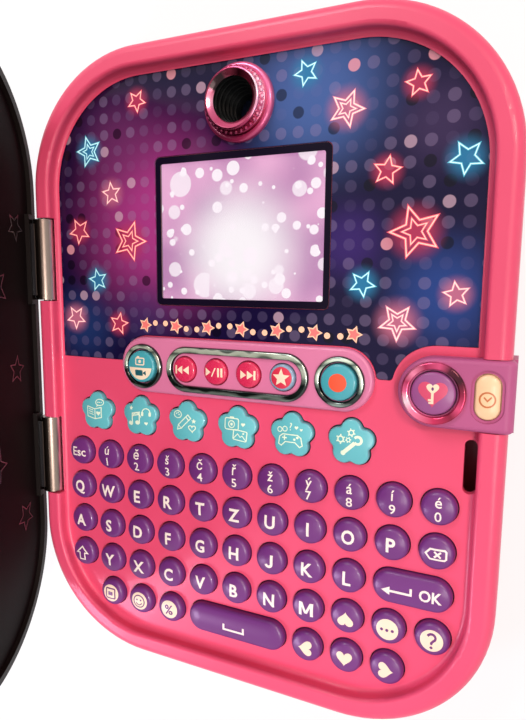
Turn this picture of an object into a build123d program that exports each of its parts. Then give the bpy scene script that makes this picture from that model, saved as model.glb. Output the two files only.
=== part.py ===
from build123d import *

import os
from math import cos, pi, sin, sqrt

# Electronic secret diary: a keyboard base with a hinged lid, lying on its back.
# The origin is the centre of the base's flat back. +X runs right along the key rows, +Y runs
# towards the camera and +Z out of the keyboard face. Sizes are millimetres. The lid stands open.

# Case
case_width = 202.0
case_length = 262.6
case_corner = 55.0
wall = 2.2
face_wall = 3.0
face_z = 26.0
parting_z = 11.0
back_round = 3.5
rim_width = 9.0
rim_height = 5.5
rim_outer_round = 4.0
rim_inner_round = 1.6
rim_foot_round = 1.9
lip_height = 2.0
lip_thickness = 1.2

# Fits
running_gap = 0.3
seat_gap = 0.15
hole_gap = 0.4
fuse = 0.5
cut = 1.0

# Keyboard: caps fill the face from side to side, and its rows stand on the lower margin
key_columns = 11
key_rows = 5
keyboard_side_margin = 3.67
keyboard_foot_margin = 8.55
key_land = 3.36
key_row_extra = 0.49
key_shoulder = 1.3
key_crown = 3.9
key_round = 1.9
flange_width = 1.0
flange_thickness = 1.2
runner_width = 4.0
stem_radius = 3.0

# Board and silicone mat under the buttons
board_depth = 8.6
board_thickness = 1.6
board_side_margin = 5.5
board_foot_margin = 4.3
board_media_margin = 10.8
board_tab_margin = 3.0
board_tab_drop = 2.0
mat_thickness = 1.2
mat_inset = 1.0
dome_height = 1.2
dome_foot_radius = 3.8
dome_top_radius = 2.6
dome_gap = 0.2

# Flower buttons
flower_count = 6
flower_side_margin = 21.2
flower_pitch = 23.7
flower_row_gap = 4.25
petal_count = 5
petal_reach = 5.0
petal_radius = 4.0
petal_valley = 1.4
flower_edge = 1.8
flower_crown = 3.2
flower_round = 0.9
flower_gap = 0.5
flower_flange = 0.7

# Media panel: a trim ring at each end, and the long trim with its four buttons between them
media_length = 111.4
media_height = 23.9
media_flower_gap = 2.4
media_lock_gap = 6.0
media_button_drop = 0.6
media_rise = 2.6
media_round = 1.4
media_wall = 2.0
media_plate = 1.6
media_hole_inset = 3.0
large_button_radius = 6.8
large_button_crown = 5.6
transport_count = 4
transport_land = 4.1
transport_left_gap = 0.75
transport_right_gap = 2.6
transport_crown = 4.7
media_button_side = 1.6
media_button_round = 1.0
trim_outer_radius = 9.6
trim_inner_radius = 7.4
trim_height = 1.6
trim_round = 0.9
trim_left_margin = 2.2
trim_right_margin = 3.0
trim_left_gap = 2.4
trim_right_gap = 2.3
transport_trim_height = 19.0
transport_trim_width = 2.8

# Lock housing on the right edge
lock_inset = 24.0
lock_drop = 1.15
lock_half_height = 12.2
lock_overhang = 1.6
lock_rise = 6.5
lock_round = 1.8
lock_end_round = 3.0
lock_wall = 1.8
lock_stem_gap = 2.0
strap_low_z = 13.0
strap_gap = 0.05
lock_ring_outer = 10.7
lock_ring_inner = 8.2
lock_ring_height = 1.5
lock_ring_round = 0.7
lock_button_radius = 7.4
lock_button_crown = 2.2
lock_button_side = 1.8
clock_inset = 6.8
clock_radius = 3.9
clock_length = 15.0
clock_crown = 1.3
clock_dish_margin = 1.4
clock_dish_depth = 0.8

# Latch slot, hook and bolt
slot_width = 4.4
slot_rim_gap = 0.1
slot_lock_gap = 4.15
slot_length = 19.5
hook_thickness = 3.0
hook_width = 16.0
hook_depth = 9.0
hook_side_gap = 0.6
hook_pad_margin = 2.0
hook_window_width = 8.0
hook_bar = 2.4
hook_window_height = 3.4
bolt_width = 6.0
bolt_height = 2.5
bolt_length = 16.8
bolt_hook_gap = 1.1
bolt_back_gap = 0.5
bolt_nose = 0.4
actuator_width = 13.0
actuator_base = 2.3
actuator_height = 5.2
motor_length = 9.7
bolt_side_gap = 0.2
bolt_under_gap = 0.1

# Printed face panel, window and display; the window fills the panel below the camera
panel_thickness = 1.2
panel_depth = 0.5
panel_foot_rise = 0.85
panel_corner = 1.5
panel_media_gap = 0.3
collar_width = 3.2
window_x = -0.9
window_width = 76.4
window_foot_margin = 24.5
window_camera_gap = 2.4
window_corner = 2.5
window_thickness = 1.0
window_ledge = 1.6
window_gap = 0.25
display_thickness = 3.9
display_overlap = 2.0
glass_rise = 0.7

# Camera
camera_x = -0.3
camera_margin = 3.4
ring_flange_radius = 14.4
ring_flange_height = 1.2
ring_top_radius = 11.3
ring_bore = 9.4
ring_neck_radius = 10.8
ring_rise = 6.8
ring_lip = 1.0
barrel_radius = 9.3
barrel_wall = 0.6
barrel_low_z = 8.0
barrel_steps = 7
barrel_top_drop = 0.8
barrel_floor = 2.0
lens_radius = 6.0
lens_thickness = 2.4
lens_crown = 1.2
lens_side = 1.6
lens_round = 0.6

# Lid and hinge
lid_open = 70.0
lid_gap = 0.3
lid_thickness = 8.0
lid_skin = 2.0
lid_border = 3.0
lid_ledge = 2.5
liner_recess = 2.0
liner_thickness = 1.5
lid_round = 3.0
hinge_setback = 1.8
hinge_inboard = 2.5
hinge_rise = 1.2
hinge_length = 36.0
hinge_head_margin = 84.9
hinge_foot_margin = 86.7
hinge_pad_margin = 2.0
barrel_outer = 4.8
pin_radius = 1.5
pin_running_gap = 0.05
pin_reach = 5.0
tongue_inner = 3.9
tongue_thickness = 3.0
tongue_reach = 2.5
hinge_end_gap = 0.5
trough_wall = 2.2
trough_inner = 5.7
hinge_lip_rise = 1.0
lid_hole_radius = 16.0
lid_notch_gap = 0.9
lid_collar = 1.5

# Screws, feet, posts and speaker
boss_radius = 3.2
boss_corner_offset = 14.0
boss_end_margin = 9.8
boss_right_margin = 7.0
boss_right_rise = 44.4
boss_left_margin = 7.5
counterbore_wall = 0.6
screw_radius = 1.45
screw_gap = 0.25
screw_head_radius = 2.6
screw_head_gap = 0.3
screw_head_height = 1.8
screw_cross_length = 3.2
screw_cross_width = 0.7
screw_sink = 4.2
screw_tip_z = 17.5
door_screw_tip_z = 13.1
foot_radius = 6.0
foot_thickness = 1.5
foot_recess = 0.5
foot_round = 0.5
foot_side_margin = 31.0
foot_end_margin = 36.3
post_radius = 2.5
post_side_margin = 16.5
post_steps = (23.0, 68.0)
post_head_margin = 9.5
speaker_side_margin = 35.0
speaker_end_margin = 71.3
speaker_radius = 18.0
speaker_height = 8.5
speaker_rim = 3.0
speaker_magnet = 10.8
speaker_cone_wide = 14.4
speaker_cone_narrow = 4.5
speaker_cone_depth = 2.0
grille_hole_radius = 1.3
grille_pitch = 4.6
grille_rings = 3
grille_first_ring = 6

# Batteries
cell_count = 4
cell_radius = 7.1
cell_length = 49.5
cell_pitch = 14.8
cell_round = 0.6
bay_camera_gap = 0.7
nub_radius = 2.75
nub_height = 1.0
contact_thickness = 0.5
contact_width = 9.0
contact_gap = 0.25
battery_wall = 5.0
battery_end_wall = 2.0
battery_side_gap = 0.4
door_thickness = 2.0
door_corner = 2.0
door_ledge = 3.2
door_lug = 8.0
door_gap = 0.2
roof_thickness = 1.2
grip_count = 4
grip_pitch = 2.4
grip_width = 1.0
grip_depth = 0.4

# Levels worked out from the sizes above
rim_z = face_z + rim_height
plate_under_z = face_z - face_wall
flange_top_z = plate_under_z - running_gap
flange_low_z = flange_top_z - flange_thickness
board_top_z = face_z - board_depth
board_low_z = board_top_z - board_thickness
mat_top_z = board_top_z + mat_thickness
dome_top_z = mat_top_z + dome_height
stem_low_z = dome_top_z + dome_gap
media_top_z = face_z + media_rise
media_flange_z = media_top_z - media_plate - running_gap - flange_thickness
lock_top_z = face_z + lock_rise
lock_flange_z = lock_top_z - lock_wall - running_gap - flange_thickness
lid_in_z = rim_z + lid_gap
lid_out_z = lid_in_z + lid_thickness
hinge_z = face_z + hinge_rise
hook_low_z = face_z - hook_depth
bolt_low_z = board_top_z + actuator_base + bolt_under_gap

# Places along the width
half_width = case_width / 2
half_length = case_length / 2
inner_half_width = half_width - rim_width
inner_half_length = half_length - rim_width
key_pitch_x = 2 * (inner_half_width - keyboard_side_margin) / key_columns
key_radius = (key_pitch_x - key_land) / 2
flower_first_x = flower_side_margin - inner_half_width
lock_x = half_width - lock_inset
clock_x = half_width - clock_inset
clock_extra = clock_length - 2 * clock_radius
slot_high_x = inner_half_width - slot_rim_gap
slot_low_x = slot_high_x - slot_width
hook_low_x = slot_low_x + hook_side_gap
bolt_tip_x = hook_low_x - bolt_hook_gap
actuator_low_x = bolt_tip_x - bolt_length - bolt_back_gap - motor_length
hinge_x = hinge_inboard - half_width
board_half_width = inner_half_width - board_side_margin
board_tab_reach = half_width - board_tab_margin
post_x = board_half_width - post_side_margin
foot_x = half_width - foot_side_margin
speaker_x = speaker_side_margin - half_width

# Places on the media panel
media_high_x = lock_x - lock_half_height - collar_width - media_lock_gap
media_low_x = media_high_x - media_length
media_x = (media_low_x + media_high_x) / 2
mode_x = media_low_x + trim_left_margin + trim_outer_radius
record_x = media_high_x - trim_right_margin - trim_outer_radius
long_trim_low_x = mode_x + trim_outer_radius + trim_left_gap
long_trim_high_x = record_x - trim_outer_radius - trim_right_gap
transport_low_x = long_trim_low_x + transport_trim_width + transport_left_gap
transport_high_x = long_trim_high_x - transport_trim_width - transport_right_gap
transport_pitch = (transport_high_x - transport_low_x + transport_land) / transport_count
transport_radius = (transport_pitch - transport_land) / 2

# Places along the length, from the lower end up and then from the upper end down
key_pitch_y = key_pitch_x + key_row_extra
bottom_row_y = keyboard_foot_margin + key_radius - inner_half_length
top_row_y = bottom_row_y + (key_rows - 1) * key_pitch_y
flower_reach = petal_reach + petal_radius
flower_y = top_row_y + key_radius + flower_row_gap + flower_reach
media_y = flower_y + flower_reach + media_flower_gap + media_height / 2
media_button_y = media_y - media_button_drop
lock_y = media_y - lock_drop
slot_y = lock_y - lock_half_height - slot_lock_gap - slot_length / 2
panel_bottom_y = media_y + panel_foot_rise
board_low_y = board_foot_margin - inner_half_length
board_high_y = media_y + media_height / 2 + board_media_margin
camera_y = inner_half_length - camera_margin - ring_flange_radius
window_low_y = panel_bottom_y + window_foot_margin
window_high_y = camera_y - ring_flange_radius - window_camera_gap
window_y = (window_low_y + window_high_y) / 2
window_height = window_high_y - window_low_y
bay_half_length = cell_length / 2 + nub_height + contact_thickness + contact_gap
cell_y = camera_y - barrel_radius - bay_camera_gap - battery_end_wall - door_lug - bay_half_length
hinge_y = (half_length - hinge_head_margin, hinge_foot_margin - half_length)
foot_y = half_length - foot_end_margin
speaker_y = half_length - speaker_end_margin
post_ys = [board_low_y + step for step in post_steps] + [board_high_y - post_head_margin]
post_places = [(x, y) for x in (-post_x, post_x) for y in post_ys]
boss_corner_x = half_width - case_corner + boss_corner_offset
boss_end_y = half_length - boss_end_margin
boss_places = [(x, y) for x in (-boss_corner_x, boss_corner_x) for y in (-boss_end_y, boss_end_y)]
boss_places.append((half_width - boss_right_margin, lock_y + boss_right_rise))
boss_places.append((boss_left_margin - half_width, lock_y))

# Caps of the keyboard: first column, row and columns covered, for each moulding
keyboard = {
    "esc_key": [(0, 0, 1)],
    "number_keys_left": [(column, 0, 1) for column in range(1, 6)],
    "number_keys_right": [(column, 0, 1) for column in range(6, 11)],
    "top_letters_left": [(column, 1, 1) for column in range(5)],
    "top_letters_right": [(column, 1, 1) for column in range(5, 10)],
    "backspace_key": [(10, 1, 1)],
    "middle_letters": [(column, 2, 1) for column in range(9)],
    "ok_key": [(9, 2, 2)],
    "shift_key": [(0, 3, 1)],
    "bottom_letters": [(column, 3, 1) for column in range(1, 8)],
    "heart_up_key": [(8, 3, 1)],
    "menu_key": [(9, 3, 1)],
    "help_key": [(10, 3, 1)],
    "save_key": [(1, 4, 1)],
    "smiley_key": [(2, 4, 1)],
    "symbol_key": [(3, 4, 1)],
    "space_key": [(4, 4, 3)],
    "heart_left_key": [(7, 4, 1)],
    "heart_down_key": [(8, 4, 1)],
    "heart_right_key": [(9, 4, 1)],
}
transport_names = ("previous_button", "play_button", "next_button", "star_button")


# Shared shapes


def slab(sketch, low, high):
    return extrude(Pos(0, 0, low) * sketch, high - low)


def block(low_x, high_x, low_y, high_y, low_z, high_z):
    centre = ((low_x + high_x) / 2, (low_y + high_y) / 2, (low_z + high_z) / 2)
    return Pos(*centre) * Box(high_x - low_x, high_y - low_y, high_z - low_z)


def outline(inset=0.0):
    return RectangleRounded(case_width - 2 * inset, case_length - 2 * inset, case_corner - inset)


def capsule(extra, radius):
    return SlotOverall(extra + 2 * radius, 2 * radius) if extra else Circle(radius)


def key_place(column, row, span):
    x = (column + (span - 1) / 2 - (key_columns - 1) / 2) * key_pitch_x
    y = top_row_y - row * key_pitch_y
    return x, y


def key_caps():
    return [cap for caps in keyboard.values() for cap in caps]


def transport_x(index):
    return transport_low_x + transport_radius + index * transport_pitch


def flower_x(index):
    return flower_first_x + index * flower_pitch


def button_places():
    places = [key_place(*cap) for cap in key_caps()]
    places += [(flower_x(index), flower_y) for index in range(flower_count)]
    places += [(transport_x(index), media_button_y) for index in range(transport_count)]
    places += [(x, media_button_y) for x in (mode_x, record_x)]
    return places + [(lock_x, lock_y), (clock_x, lock_y)]


def petals(grow=0.0):
    """Five round petals joined by small valley arcs, each tangent to its two petals."""
    petal = petal_radius + grow
    valley = petal_valley - grow
    step = 2 * pi / petal_count
    bisector = petal_reach * cos(step / 2)
    valley_reach = bisector + sqrt((petal + valley) ** 2 - (petal_reach * sin(step / 2)) ** 2)

    def at(reach, angle):
        return Vector(reach * cos(angle), reach * sin(angle))

    def touch(petal_angle, valley_angle):
        centre = at(petal_reach, petal_angle)
        return centre + (at(valley_reach, valley_angle) - centre) * (petal / (petal + valley))

    arcs = []
    for index in range(petal_count):
        middle = pi / 2 + index * step
        start = touch(middle, middle - step / 2)
        end = touch(middle, middle + step / 2)
        following = touch(middle + step, middle + step / 2)
        arcs.append(ThreePointArc(start, at(petal_reach + petal, middle), end))
        arcs.append(ThreePointArc(end, at(valley_reach - valley, middle + step / 2), following))
    return make_face(arcs)


def cap_profile(radius, low, shoulder, crown, rounding):
    """Half section of a domed cap: a side, a shoulder arc and a crown arc, all tangent."""
    rise = crown - shoulder
    inner = radius - rounding
    crown_radius = (inner**2 + rise**2 - rounding**2) / (2 * (rise - rounding))
    centre = Vector(0, crown - crown_radius)
    shoulder_centre = Vector(inner, shoulder)
    along = (shoulder_centre - centre).normalized()
    meeting = centre + along * crown_radius
    crown_middle = centre + (along + Vector(0, 1)).normalized() * crown_radius
    shoulder_middle = shoulder_centre + (along + Vector(1, 0)).normalized() * rounding
    top = Vector(0, crown)
    side = Vector(radius, shoulder)
    edges = [
        Line((0, low), (radius, low)),
        Line((radius, low), side),
        ThreePointArc(side, shoulder_middle, meeting),
        ThreePointArc(meeting, crown_middle, top),
        Line(top, (0, low)),
    ]
    return make_face(edges)


def domed(radius, extra, low, shoulder, crown, rounding):
    """Domed cap, round or lengthened along X by extra."""
    section = Plane.XZ * cap_profile(radius, low, shoulder, crown, rounding)
    turned = revolve(section, Axis.Z, 360)
    if not extra:
        return turned
    across = Plane.YZ * cap_profile(radius, low, shoulder, crown, rounding)
    half = extrude(across, extra / 2, both=True)
    middle = half + mirror(half, Plane.XZ)
    return Pos(-extra / 2, 0, 0) * turned + middle + Pos(extra / 2, 0, 0) * turned


def button(radius, extra, flange_low, shoulder, crown, rounding):
    """Cap with its retaining flange and the stem that presses the dome under it."""
    cap = domed(radius, extra, flange_low, shoulder, crown, rounding)
    flange = slab(capsule(extra, radius + flange_width), flange_low, flange_low + flange_thickness)
    stem = slab(Circle(stem_radius), stem_low_z, flange_low)
    return cap + flange + stem


# Case


def lock_plan(grow=0.0):
    """Plan of the lock housing: round at its left end and running off over the right edge."""
    right = half_width + lock_overhang + grow
    width = right - lock_x
    straight = Pos(lock_x + width / 2, lock_y) * Rectangle(width, 2 * (lock_half_height + grow))
    return Pos(lock_x, lock_y) * Circle(lock_half_height + grow) + straight


def panel_outline(grow=0.0):
    """Face inside the rim, cut off below and round the media panel and the lock's collar."""
    below = Pos(0, panel_bottom_y - grow - half_length) * Rectangle(case_width, case_length)
    spread = 2 * (panel_media_gap - grow)
    media = Pos(media_x, media_y) * SlotOverall(media_length + spread, media_height + spread)
    collar_radius = lock_half_height + collar_width - grow
    collar = Pos(lock_x, lock_y) * Circle(collar_radius)
    collar += Pos(lock_x + rim_width * 2, lock_y) * Rectangle(rim_width * 4, 2 * collar_radius)
    shape = outline(rim_width - grow) - below - media - collar
    corners = shape.vertices().filter_by(lambda v: abs(v.Y - panel_bottom_y + grow) < 0.01)
    return fillet(corners, panel_corner)


def face_holes():
    holes = Sketch()
    for column, row, span in key_caps():
        hole = capsule((span - 1) * key_pitch_x, key_radius + hole_gap)
        holes += Pos(*key_place(column, row, span)) * hole
    for index in range(flower_count):
        holes += Pos(flower_x(index), flower_y) * petals(flower_gap)
    holes += Pos(media_x, media_y) * SlotOverall(
        media_length - 2 * media_hole_inset, media_height - 2 * media_hole_inset
    )
    holes += Pos(lock_x, lock_y) * Circle(stem_radius + lock_stem_gap)
    holes += Pos(clock_x, lock_y) * Circle(stem_radius + hole_gap)
    holes += Pos(camera_x, camera_y) * Circle(ring_neck_radius + seat_gap)
    holes += Pos(window_x, window_y) * Rectangle(
        window_width - 2 * window_ledge, window_height - 2 * window_ledge
    )
    return holes


def latch_slot():
    slot_x = (slot_low_x + slot_high_x) / 2
    return Pos(slot_x, slot_y) * SlotOverall(slot_length, slot_high_x - slot_low_x, rotation=90)


def front_shell():
    body = slab(outline(), parting_z, rim_z)
    body = fillet(body.faces().sort_by(Axis.Z)[-1].edges(), rim_outer_round)
    body -= slab(outline(rim_width), face_z, rim_z)
    top = body.faces().sort_by(Axis.Z)[-1]
    body = fillet(top.inner_wires()[0].edges(), rim_inner_round)
    face = body.faces().filter_by(lambda f: abs(f.center().Z - face_z) < 0.01 and f.area > half_width**2)[0]
    body = fillet(face.outer_wire().edges(), rim_foot_round)
    body -= slab(outline(wall), parting_z, plate_under_z)
    left = -half_width
    channel = slab(outline(wall) - outline(rim_width - wall), plate_under_z, rim_z - wall)
    reach = hinge_y[0] + hinge_length / 2 + pin_reach + wall
    channel -= block(left, left + rim_width * 2, -reach, reach, plate_under_z, rim_z)
    body -= channel
    half = hinge_length / 2 + hinge_end_gap
    trough_x = hinge_x + trough_inner
    trough_z = hinge_z - barrel_outer - hinge_end_gap
    for y in hinge_y:
        body += block(
            left, trough_x + trough_wall, y - half - trough_wall, y + half + trough_wall,
            trough_z - trough_wall, plate_under_z + fuse,
        )
    for y in hinge_y:
        body -= block(left - cut, trough_x, y - half, y + half, trough_z, rim_z + cut)
        lip_x = left + rim_width + rim_inner_round
        body -= block(left - cut, lip_x, y - half, y + half, face_z + hinge_lip_rise, rim_z + cut)
        drilled = hinge_length / 2 + pin_reach
        body -= Pos(hinge_x, y, hinge_z) * Rot(90, 0, 0) * Cylinder(pin_radius, 2 * drilled)
    body -= slab(lock_plan(seat_gap), face_z, rim_z + cut)
    body -= slab(panel_outline(), face_z - panel_depth - panel_thickness, face_z)
    body -= slab(face_holes(), plate_under_z - cut, face_z)
    body -= slab(latch_slot(), plate_under_z - cut, rim_z)
    for x, y in boss_places:
        boss = Circle(boss_radius) - Circle(screw_radius)
        body += Pos(x, y) * slab(boss, parting_z + running_gap, plate_under_z + fuse)
    return body


def battery_bay():
    """Half width and Y range of the bay that holds the cells."""
    bay_half_width = (cell_count - 1) * cell_pitch / 2 + cell_radius + battery_side_gap
    return bay_half_width, cell_y - bay_half_length, cell_y + bay_half_length


def door_range(gap):
    bay_half_width, low_y, high_y = battery_bay()
    return bay_half_width + door_ledge - gap, low_y - door_ledge + gap, high_y + door_lug - gap


def door_screw_y():
    return battery_bay()[2] + door_lug / 2


def cell_z():
    return door_thickness + battery_side_gap + cell_radius


def back_shell():
    body = slab(outline(), 0, parting_z)
    body = fillet(body.faces().sort_by(Axis.Z)[0].edges(), back_round)
    body -= slab(outline(wall), wall, parting_z)
    lip_inside = outline(wall + seat_gap + lip_thickness)
    body += slab(outline(wall / 2) - lip_inside, parting_z - wall, parting_z)
    body += slab(outline(wall + seat_gap) - lip_inside, parting_z - wall, parting_z + lip_height)
    bay_half_width, low_y, high_y = battery_bay()
    roof_z = cell_z() + cell_radius + battery_side_gap
    outer = bay_half_width + battery_wall
    end_y = high_y + door_lug + battery_end_wall
    body += block(-outer, outer, low_y - battery_wall, end_y, fuse, roof_z + roof_thickness)
    body -= block(-bay_half_width, bay_half_width, low_y, high_y, -cut, roof_z)
    door_half, door_low, door_high = door_range(0)
    body -= block(-door_half, door_half, door_low, door_high, -cut, door_thickness)
    pilot = Circle(screw_radius)
    body -= Pos(0, door_screw_y()) * slab(pilot, 0, door_screw_tip_z + wall)
    for x, y in boss_places:
        body += Pos(x, y) * slab(Circle(boss_radius + counterbore_wall), fuse, parting_z)
        counterbore = Circle(screw_head_radius + screw_head_gap)
        body -= Pos(x, y) * slab(counterbore, -cut, screw_sink + screw_head_height)
        body -= Pos(x, y) * slab(Circle(screw_radius + screw_gap), 0, parting_z + cut)
    for x, y in post_places:
        body += Pos(x, y) * slab(Circle(post_radius), wall - fuse, board_low_z)
    for x in (-foot_x, foot_x):
        for y in (-foot_y, foot_y):
            body -= Pos(x, y) * slab(Circle(foot_radius + seat_gap), -cut, foot_recess)
    seat = Circle(speaker_radius + wall) - Circle(speaker_radius + seat_gap)
    body += Pos(speaker_x, speaker_y) * slab(seat, wall - fuse, speaker_height / 2 + wall)
    body -= Pos(speaker_x, speaker_y) * slab(grille(), -cut, wall + cut)
    return body


def grille():
    holes = Circle(grille_hole_radius)
    for ring in range(1, grille_rings):
        count = grille_first_ring * ring
        for index in range(count):
            angle = 2 * pi * index / count
            reach = ring * grille_pitch
            holes += Pos(reach * cos(angle), reach * sin(angle)) * Circle(grille_hole_radius)
    return holes


# Face pieces


def face_panel():
    shape = panel_outline(-seat_gap)
    shape -= Pos(window_x, window_y) * RectangleRounded(window_width, window_height, window_corner)
    shape -= Pos(camera_x, camera_y) * Circle(ring_neck_radius + seat_gap)
    return slab(shape, face_z - panel_depth - panel_thickness, face_z - panel_depth)


def screen_window():
    shape = RectangleRounded(
        window_width - 2 * window_gap, window_height - 2 * window_gap, window_corner - window_gap
    )
    floor = face_z - panel_depth - panel_thickness
    return Pos(window_x, window_y) * slab(shape, floor, floor + window_thickness)


def lcd_module():
    width = window_width - 2 * window_ledge
    height = window_height - 2 * window_ledge
    tray = Rectangle(width + 2 * display_overlap, height + 2 * display_overlap)
    glass = Rectangle(width - 2 * running_gap, height - 2 * running_gap)
    body = slab(tray, plate_under_z - display_thickness, plate_under_z)
    return Pos(window_x, window_y) * (body + slab(glass, plate_under_z, plate_under_z + glass_rise))


def camera_ring():
    """Turned ring: a flange on the panel, a cone and a rounded lip."""
    flange_z = face_z - panel_depth
    cone_z = flange_z + ring_flange_height
    lip_z = face_z + ring_rise
    neck_z = plate_under_z
    profile = make_face(
        [
            Line((ring_bore, neck_z), (ring_neck_radius, neck_z)),
            Line((ring_neck_radius, neck_z), (ring_neck_radius, flange_z)),
            Line((ring_neck_radius, flange_z), (ring_flange_radius, flange_z)),
            Line((ring_flange_radius, flange_z), (ring_flange_radius, cone_z)),
            Line((ring_flange_radius, cone_z), (ring_top_radius, lip_z - ring_lip)),
            ThreePointArc(
                (ring_top_radius, lip_z - ring_lip),
                ((ring_top_radius + ring_bore) / 2, lip_z),
                (ring_bore, lip_z - ring_lip),
            ),
            Line((ring_bore, lip_z - ring_lip), (ring_bore, neck_z)),
        ]
    )
    return Pos(camera_x, camera_y) * revolve(Plane.XZ * profile, Axis.Z, 360)


def camera_barrel():
    """Lens tube whose bore narrows in steps down to the lens seat."""
    top = face_z + ring_rise - ring_lip - barrel_top_drop
    seat = barrel_low_z + barrel_floor
    body = slab(Circle(barrel_radius), barrel_low_z, top)
    widest = barrel_radius - barrel_wall
    narrowest = lens_radius + seat_gap
    deepest = seat + lens_thickness + lens_crown
    body -= slab(Circle(narrowest), seat, top)
    for step in range(barrel_steps):
        share = step / (barrel_steps - 1)
        radius = widest + (narrowest - widest) * share
        low = top + (deepest - top) * (step + 1) / barrel_steps
        body -= slab(Circle(radius), low, top)
    return Pos(camera_x, camera_y) * body


def camera_lens():
    low = barrel_low_z + barrel_floor
    body = domed(lens_radius, 0, low, low + lens_side, low + lens_thickness + lens_crown, lens_round)
    return Pos(camera_x, camera_y) * body


def media_panel():
    body = slab(SlotOverall(media_length, media_height), face_z, media_top_z)
    body = fillet(body.faces().sort_by(Axis.Z)[-1].edges(), media_round)
    inner = SlotOverall(media_length - 2 * media_wall, media_height - 2 * media_wall)
    body -= slab(inner, face_z, media_top_z - media_plate)
    holes = Sketch()
    for index in range(transport_count):
        holes += Pos(transport_x(index), media_button_y) * Circle(transport_radius + hole_gap)
    for x in (mode_x, record_x):
        holes += Pos(x, media_button_y) * Circle(large_button_radius + hole_gap)
    return Pos(media_x, media_y) * body - slab(holes, face_z, media_top_z)


def rounded_band(outer, inner, low, height, rounding):
    band = slab(outer - inner, low, low + height)
    return fillet(band.faces().sort_by(Axis.Z)[-1].edges(), rounding)


def media_trims():
    rings = []
    for x in (mode_x, record_x):
        band = rounded_band(
            Circle(trim_outer_radius), Circle(trim_inner_radius), media_top_z, trim_height, trim_round
        )
        rings.append(Pos(x, media_button_y) * band)
    length = long_trim_high_x - long_trim_low_x
    outer = SlotOverall(length, transport_trim_height)
    inner = SlotOverall(length - 2 * transport_trim_width, transport_trim_height - 2 * transport_trim_width)
    band = rounded_band(outer, inner, media_top_z, trim_height, trim_round)
    rings.append(Pos((long_trim_low_x + long_trim_high_x) / 2, media_button_y) * band)
    return Compound(children=rings)


def lock_housing():
    body = slab(lock_plan(), face_z, lock_top_z)
    top = body.faces().sort_by(Axis.Z)[-1]
    body = fillet(top.edges().filter_by(Axis.Y).sort_by(Axis.X)[-1], lock_end_round)
    body = fillet(body.faces().sort_by(Axis.Z)[-1].edges().filter_by(Axis.Y, reverse=True), lock_round)
    side = half_width
    body += block(
        side + strap_gap, side + lock_overhang, lock_y - lock_half_height, lock_y + lock_half_height,
        strap_low_z, face_z + cut,
    )
    limit = Pos(lock_x, lock_y) * Rectangle(4 * lock_half_height, 4 * lock_half_height)
    inside = Rectangle(2 * lock_half_height - hole_gap, 4 * lock_half_height)
    limit += Pos(side - lock_half_height, lock_y) * inside
    body -= slab(lock_plan(-lock_wall) & limit, face_z, lock_top_z - lock_wall)
    body -= slab(Pos(lock_x, lock_y) * Circle(lock_button_radius + hole_gap), face_z, lock_top_z)
    clock = Pos(clock_x, lock_y) * Rot(0, 0, 90)
    dish = capsule(clock_extra, clock_radius + clock_dish_margin)
    body -= slab(clock * dish, lock_top_z - clock_dish_depth, lock_top_z + cut)
    body -= slab(clock * capsule(clock_extra, clock_radius + hole_gap), face_z, lock_top_z)
    return body


def lock_ring():
    band = rounded_band(
        Circle(lock_ring_outer), Circle(lock_ring_inner), lock_top_z, lock_ring_height, lock_ring_round
    )
    return Pos(lock_x, lock_y) * band


# Buttons


def key_moulding(caps):
    """One cap, or the caps of a row joined under the face by a thin runner."""
    body = None
    for column, row, span in caps:
        x, y = key_place(column, row, span)
        extra = (span - 1) * key_pitch_x
        cap = Pos(x, y) * button(
            key_radius, extra, flange_low_z, face_z + key_shoulder, face_z + key_crown, key_round
        )
        body = cap if body is None else body + cap
    if len(caps) > 1:
        first_x, y = key_place(*caps[0])
        last_x = key_place(*caps[-1])[0]
        half = runner_width / 2
        body += block(first_x, last_x, y - half, y + half, flange_low_z, flange_top_z)
    return body


def flower_button(index):
    body = slab(petals(), flange_low_z, face_z + flower_crown)
    rise = flower_crown - flower_edge
    crown_radius = (flower_reach**2 + rise**2) / (2 * rise)
    body &= Pos(0, 0, face_z + flower_crown - crown_radius) * Sphere(crown_radius)
    body = fillet(body.faces().sort_by(Axis.Z)[-1].edges(), flower_round)
    body += slab(petals(flower_gap + flower_flange), flange_low_z, flange_top_z)
    body += slab(Circle(stem_radius), stem_low_z, flange_low_z)
    return Pos(flower_x(index), flower_y) * body


def media_button(x, radius, crown):
    crown_z = face_z + crown
    body = button(radius, 0, media_flange_z, crown_z - media_button_side, crown_z, media_button_round)
    return Pos(x, media_button_y) * body


def lock_button():
    crown_z = lock_top_z + lock_button_crown
    side_z = crown_z - lock_button_side
    body = button(lock_button_radius, 0, lock_flange_z, side_z, crown_z, media_button_round)
    return Pos(lock_x, lock_y) * body


def clock_button():
    crown_z = lock_top_z + clock_crown
    side_z = crown_z - media_button_side
    body = button(clock_radius, clock_extra, lock_flange_z, side_z, crown_z, media_button_round)
    return Pos(clock_x, lock_y) * Rot(0, 0, 90) * body


# Inside


def board_outline(inset=0.0):
    """Board under every button, with a tab that reaches the lock housing's buttons."""
    low_y = board_low_y + inset
    high_y = board_high_y - inset
    centre_y = (low_y + high_y) / 2
    main = Pos(0, centre_y) * Rectangle(2 * (board_half_width - inset), high_y - low_y)
    tab_width = board_tab_reach - inset
    tab = Pos(tab_width / 2, lock_y) * Rectangle(tab_width, 2 * (lock_half_height - board_tab_drop - inset))
    return (main + tab) & outline(wall + lip_thickness + inset)


def actuator_range():
    half = actuator_width / 2
    return actuator_low_x, board_half_width, slot_y - half, slot_y + half


def main_board():
    return slab(board_outline(), board_low_z, board_top_z)


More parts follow.
